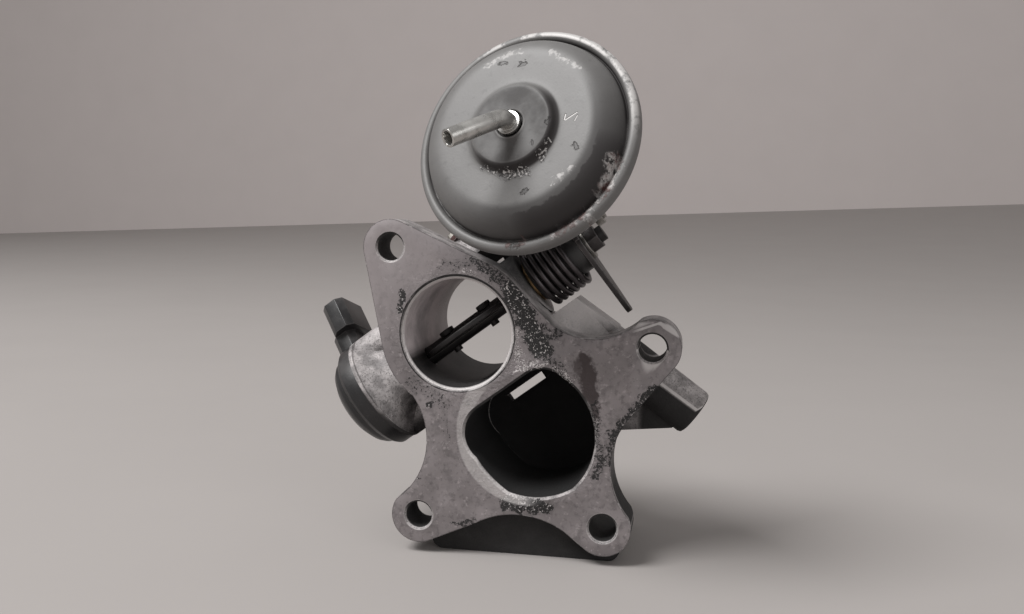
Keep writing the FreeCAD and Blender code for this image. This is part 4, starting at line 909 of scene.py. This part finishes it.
class VALVE_OT_spring(bpy.types.Operator):
    """Wind the return spring, which twists between the casting and the lever"""
    bl_idname = "valve.spring"
    bl_label = "Return spring"

    def execute(self, context):
        s = context.scene.valve_spring
        deselect()
        bpy.ops.mesh.primitive_circle_add(vertices=20, radius=s.wire / 2, fill_type="NOTHING",
                                          location=(s.radius, 0, 0), rotation=(math.pi / 2, 0, 0))
        coil = bpy.context.object
        coil.name = coil.data.name = "spring_coil"
        bpy.ops.object.transform_apply(location=True, rotation=True, scale=True)
        height = s.end - s.start
        apply_modifier(coil, "SCREW", angle=2 * math.pi * s.turns, screw_offset=height, iterations=1,
                       steps=int(48 * s.turns), render_steps=int(48 * s.turns), use_merge_vertices=False)
        bpy.ops.object.mode_set(mode="EDIT")
        bpy.ops.mesh.select_all(action="SELECT")
        bpy.ops.mesh.normals_make_consistent(inside=False)
        bpy.ops.object.mode_set(mode="OBJECT")
        seat(coil, Matrix.Rotation(s.foot, 4, "Z") @ Matrix.Translation((0, 0, s.start)))
        legs = []
        for station, turn in ((s.start, s.foot), (s.end, s.foot + 2 * math.pi * (s.turns % 1.0))):
            deselect()
            bpy.ops.mesh.primitive_cylinder_add(vertices=20, radius=s.wire / 2, depth=s.leg,
                                                location=(s.radius + s.leg / 2, 0, station),
                                                rotation=(0, math.pi / 2, 0))
            leg = bpy.context.object
            leg.name = leg.data.name = "spring_leg_%d" % (len(legs) + 1)
            bpy.ops.object.transform_apply(location=True, rotation=True, scale=True)
            soften(leg, 0.3 * MM, 2, 50.0)
            deselect()
            bpy.ops.mesh.primitive_uv_sphere_add(segments=20, ring_count=10, radius=s.wire / 2,
                                                 location=(s.radius, 0, station))
            elbow = bpy.context.object
            bpy.ops.object.transform_apply(location=True, rotation=True, scale=True)
            elbow.select_set(True)
            leg.select_set(True)
            bpy.context.view_layer.objects.active = leg
            bpy.ops.object.join()
            seat(leg, Matrix.Rotation(turn, 4, "Z"))
            legs.append(leg)
        deselect()
        for part in legs + [coil]:
            part.select_set(True)
        bpy.context.view_layer.objects.active = coil
        bpy.ops.object.join()
        seat(coil, shaft_frame())
        bpy.ops.object.shade_smooth_by_angle(angle=math.radians(50.0))
        steel = steel_material("Oiled spring wire", s.steel, (0.42, 0.41, 0.40), 0.85, 0.34, 0.6, 0.5)
        finish_piece(coil, steel, None, "return_spring")
        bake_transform(coil)
        return {"FINISHED"}


class VALVE_OT_linkage(bpy.types.Operator):
    """Finish the lever, its nut and washer, the rod, the link pin and its clip"""
    bl_idname = "valve.linkage"
    bl_label = "Lever and rod"

    def execute(self, context):
        dark = steel_material("Dark lever steel", (0.060, 0.055, 0.055), (0.38, 0.365, 0.355),
                              0.8, 0.40, 0.5, 0.55)
        zinc = steel_material("Plated linkage", (0.23, 0.22, 0.205), (0.58, 0.56, 0.54),
                              0.85, 0.36, 0.5, 0.5)
        plastic = plastic_material("Guide plastic", (0.02, 0.019, 0.019), (0.16, 0.15, 0.145))
        dressed("lever", "lever_blade", dark, 0.22 * MM)
        dressed("lever_nut", "shaft_nut", dark, 0.3 * MM)
        dressed("lever_washer", "shaft_washer", zinc, 0.12 * MM)
        dressed("actuator_rod", "pull_rod", zinc, 0.2 * MM)
        dressed("link_pin", "lever_pin", zinc, 0.15 * MM)
        dressed("pin_clip", "lever_pin_clip", dark, 0.06 * MM)
        dressed("spring_sleeve", "spring_guide", plastic, 0.2 * MM)
        return {"FINISHED"}


class VALVE_OT_bracket(bpy.types.Operator):
    """Finish the bracket, its screws, the studs with their nuts and the rod's bush"""
    bl_idname = "valve.bracket"
    bl_label = "Bracket"

    def execute(self, context):
        s = context.scene.valve_can
        zinc = steel_material("Plated fasteners", (0.24, 0.225, 0.205), (0.58, 0.56, 0.54),
                              0.85, 0.38, 0.5, 0.5)
        bronze = steel_material("Sintered bronze", (0.26, 0.17, 0.09), (0.62, 0.48, 0.30),
                                0.9, 0.42, 0.5, 0.4)
        dressed("can_bracket", "bracket", can_material(s, "Bracket coat", True), 0.35 * MM)
        dressed("bracket_screws", "pad_screws", zinc, 0.3 * MM)
        dressed("can_studs", "weld_studs", zinc, 0.25 * MM)
        dressed("can_nuts", "stud_nuts", zinc, 0.3 * MM)
        dressed("rod_bush", "rod_guide", bronze, 0.2 * MM)
        dressed("drive_bush", "lever_side_bush", bronze, 0.15 * MM)
        dressed("sensor_bush", "sensor_side_bush", bronze, 0.15 * MM)
        return {"FINISHED"}


class VALVE_OT_sensor(bpy.types.Operator):
    """Finish the position sensor, its lid, screws and contacts"""
    bl_idname = "valve.sensor"
    bl_label = "Position sensor"

    def execute(self, context):
        s = context.scene.valve_sensor
        plastic = plastic_material("Sensor moulding", s.plastic, s.dust, 0.55, 0.34)
        zinc = steel_material("Sensor screws", (0.25, 0.24, 0.22), (0.6, 0.58, 0.55),
                              0.85, 0.36, 0.4, 0.5)
        tin = steel_material("Tinned contacts", (0.60, 0.55, 0.42), (0.85, 0.82, 0.75),
                             0.95, 0.25, 0.2, 0.4)
        dressed("sensor_housing", "sensor_case", plastic, s.edge, 3)
        dressed("sensor_lid", "sensor_cover", plastic, 0.25 * MM)
        dressed("sensor_screws", "collar_screws", zinc, 0.3 * MM)
        dressed("connector_pins", "contacts", tin, 0.08 * MM)
        dressed("sensor_rotor", "wiper_rotor", plastic, 0.2 * MM)
        return {"FINISHED"}


class VALVE_OT_inner(bpy.types.Operator):
    """Give the pieces hidden inside the can, the seals and the sensor their materials"""
    bl_idname = "valve.inner"
    bl_label = "Inner pieces"

    def execute(self, context):
        rubber = rubber_material("Seal rubber", (0.015, 0.015, 0.016))
        zinc = steel_material("Diaphragm plate", (0.30, 0.29, 0.27), (0.6, 0.58, 0.55),
                              0.85, 0.38, 0.3, 0.4)
        wire = steel_material("Can spring wire", (0.12, 0.115, 0.115), (0.5, 0.49, 0.48),
                              0.9, 0.32, 0.3, 0.3)
        laminate = plastic_material("Board laminate", (0.02, 0.075, 0.03), (0.12, 0.12, 0.11), 0.2, 0.5)
        for material, nodes in ((rubber, ("shaft_seals", "sensor_seal")),
                                (zinc, ("diaphragm_plate",)),
                                (laminate, ("sensor_board",))):
            for node in nodes:
                slots = frame["nodes"][node].material_slots
                for held in slots:
                    held.material = material
        can = context.scene.valve_can
        for node, name, material, start, end in (
                ("diaphragm_spring", "can_spring", wire, can.rim_station - 7.0 * MM, can.spring_end),
                ("diaphragm", "can_diaphragm", rubber, can.rim_station, can.spring_end)):
            piece = dressed(node, name, material, 0.0, body=None)
            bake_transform(piece)
        return {"FINISHED"}


class VALVE_OT_stage(bpy.types.Operator):
    """Lay the floor and the backdrop, set the soft light and place the camera"""
    bl_idname = "valve.stage"
    bl_label = "Stage"

    def execute(self, context):
        s = context.scene.valve_stage
        scene = context.scene
        base = cad_box[0].z
        # the floor is level round the valve and meets the backdrop along a line that leans like the photo's
        deselect()
        bpy.ops.mesh.primitive_grid_add(x_subdivisions=24, y_subdivisions=40, size=2.0,
                                        location=(0, 0, base))
        floor = context.object
        floor.name = floor.data.name = "floor"
        bpy.ops.transform.resize(value=(4.5, 2.6, 1.0), center_override=(0, 0, base))
        bpy.ops.transform.translate(value=(0, s.reach - 2.6, 0))
        bpy.ops.object.transform_apply(location=True, rotation=True, scale=True)
        for corner in floor.data.vertices:
            far = min(1.0, max(0.0, (corner.co.y - 0.6) / (s.reach - 0.6)))
            side = (corner.co.x + 2.1) / 3.2
            corner.co.z = base + far * far * (s.left_rise + (s.right_rise - s.left_rise) * side)
        pick(floor)
        bpy.ops.object.shade_smooth()
        floor.data.materials.append(plain_material("Pale floor", s.floor))
        deselect()
        bpy.ops.mesh.primitive_plane_add(size=2.0, location=(0, s.reach - 0.02, base),
                                         rotation=(math.pi / 2, 0, 0))
        wall = context.object
        wall.name = wall.data.name = "backdrop"
        bpy.ops.transform.resize(value=(4.6, 1.0, 2.4), center_override=(0, s.reach - 0.02, base))
        bpy.ops.object.transform_apply(location=True, rotation=True, scale=True)
        wall.data.materials.append(plain_material("Pale backdrop", s.wall))
        world = bpy.data.worlds.new("Soft room")
        scene.world = world
        world.use_nodes = True
        world.node_tree.nodes.clear()
        t = Tree(world.node_tree)
        soft = t.node("ShaderNodeBackground", {"Color": (1.0, 0.975, 0.965), "Strength": s.world})
        end = t.node("ShaderNodeOutputWorld")
        t.tree.links.new(soft.outputs[0], end.inputs["Surface"])
        for name, power, spot, reach in (("key", s.key, (-1.10, -0.95, 2.00), 1.10),
                                         ("fill", s.fill, (1.30, -1.30, 0.70), 1.20)):
            lamp = bpy.data.lights.new(name, "AREA")
            lamp.energy = power
            lamp.size = reach
            holder = bpy.data.objects.new(name, lamp)
            scene.collection.objects.link(holder)
            holder.location = spot
            aim = Vector((0.02, 0, 0.0)) - Vector(spot)
            holder.rotation_mode = "QUATERNION"
            holder.rotation_quaternion = aim.to_track_quat("-Z", "Y")
        lens = bpy.data.cameras.new("camera")
        lens.lens = s.lens
        lens.sensor_width = 36.0
        lens.clip_start, lens.clip_end = 0.01, 50.0
        camera = bpy.data.objects.new("camera", lens)
        scene.collection.objects.link(camera)
        right = Vector((0.98199, 0.18846, 0.01297))
        above = Vector((-0.02956, 0.08548, 0.9959))
        camera.matrix_world = frame_matrix(right, above, right.cross(above),
                                           Vector((75.30 * MM, -299.15 * MM, 36.64 * MM)))
        scene.camera = camera
        scene.view_settings.view_transform = "Standard"
        return {"FINISHED"}


class VALVE_PT_panel(bpy.types.Panel):
    """The valve's operators and settings"""
    bl_label = "Shut-off valve"
    bl_idname = "VALVE_PT_panel"
    bl_space_type = "VIEW_3D"
    bl_region_type = "UI"
    bl_category = "Valve"

    def draw(self, context):
        for operator in OPERATORS:
            self.layout.operator(operator.bl_idname)
        for name in SETTINGS:
            box = self.layout.box()
            group_settings = getattr(context.scene, name)
            for key in group_settings.bl_rna.properties.keys():
                if key not in ("rna_type", "name"):
                    box.prop(group_settings, key)


OPERATORS = (VALVE_OT_casting, VALVE_OT_flap, VALVE_OT_can, VALVE_OT_nipple, VALVE_OT_spring,
             VALVE_OT_linkage, VALVE_OT_bracket, VALVE_OT_sensor, VALVE_OT_inner, VALVE_OT_stage)
SETTINGS = {"valve_casting": CastingSettings, "valve_can": CanSettings, "valve_spring": SpringSettings,
            "valve_sensor": SensorSettings, "valve_stage": StageSettings}


def register():
    for held in SETTINGS.values():
        bpy.utils.register_class(held)
    for name, held in SETTINGS.items():
        setattr(bpy.types.Scene, name, PointerProperty(type=held))
    for operator in OPERATORS:
        bpy.utils.register_class(operator)
    bpy.utils.register_class(VALVE_PT_panel)


def unregister():
    bpy.utils.unregister_class(VALVE_PT_panel)
    for operator in reversed(OPERATORS):
        bpy.utils.unregister_class(operator)
    for name, held in SETTINGS.items():
        delattr(bpy.types.Scene, name)
        bpy.utils.unregister_class(held)


def main():
    register()
    bpy.ops.valve.casting()
    bpy.ops.valve.flap()
    bpy.ops.valve.can()
    bpy.ops.valve.nipple()
    bpy.ops.valve.spring()
    bpy.ops.valve.linkage()
    bpy.ops.valve.bracket()
    bpy.ops.valve.sensor()
    bpy.ops.valve.inner()
    bpy.ops.valve.stage()
    deselect()


if __name__ == "__main__":
    main()
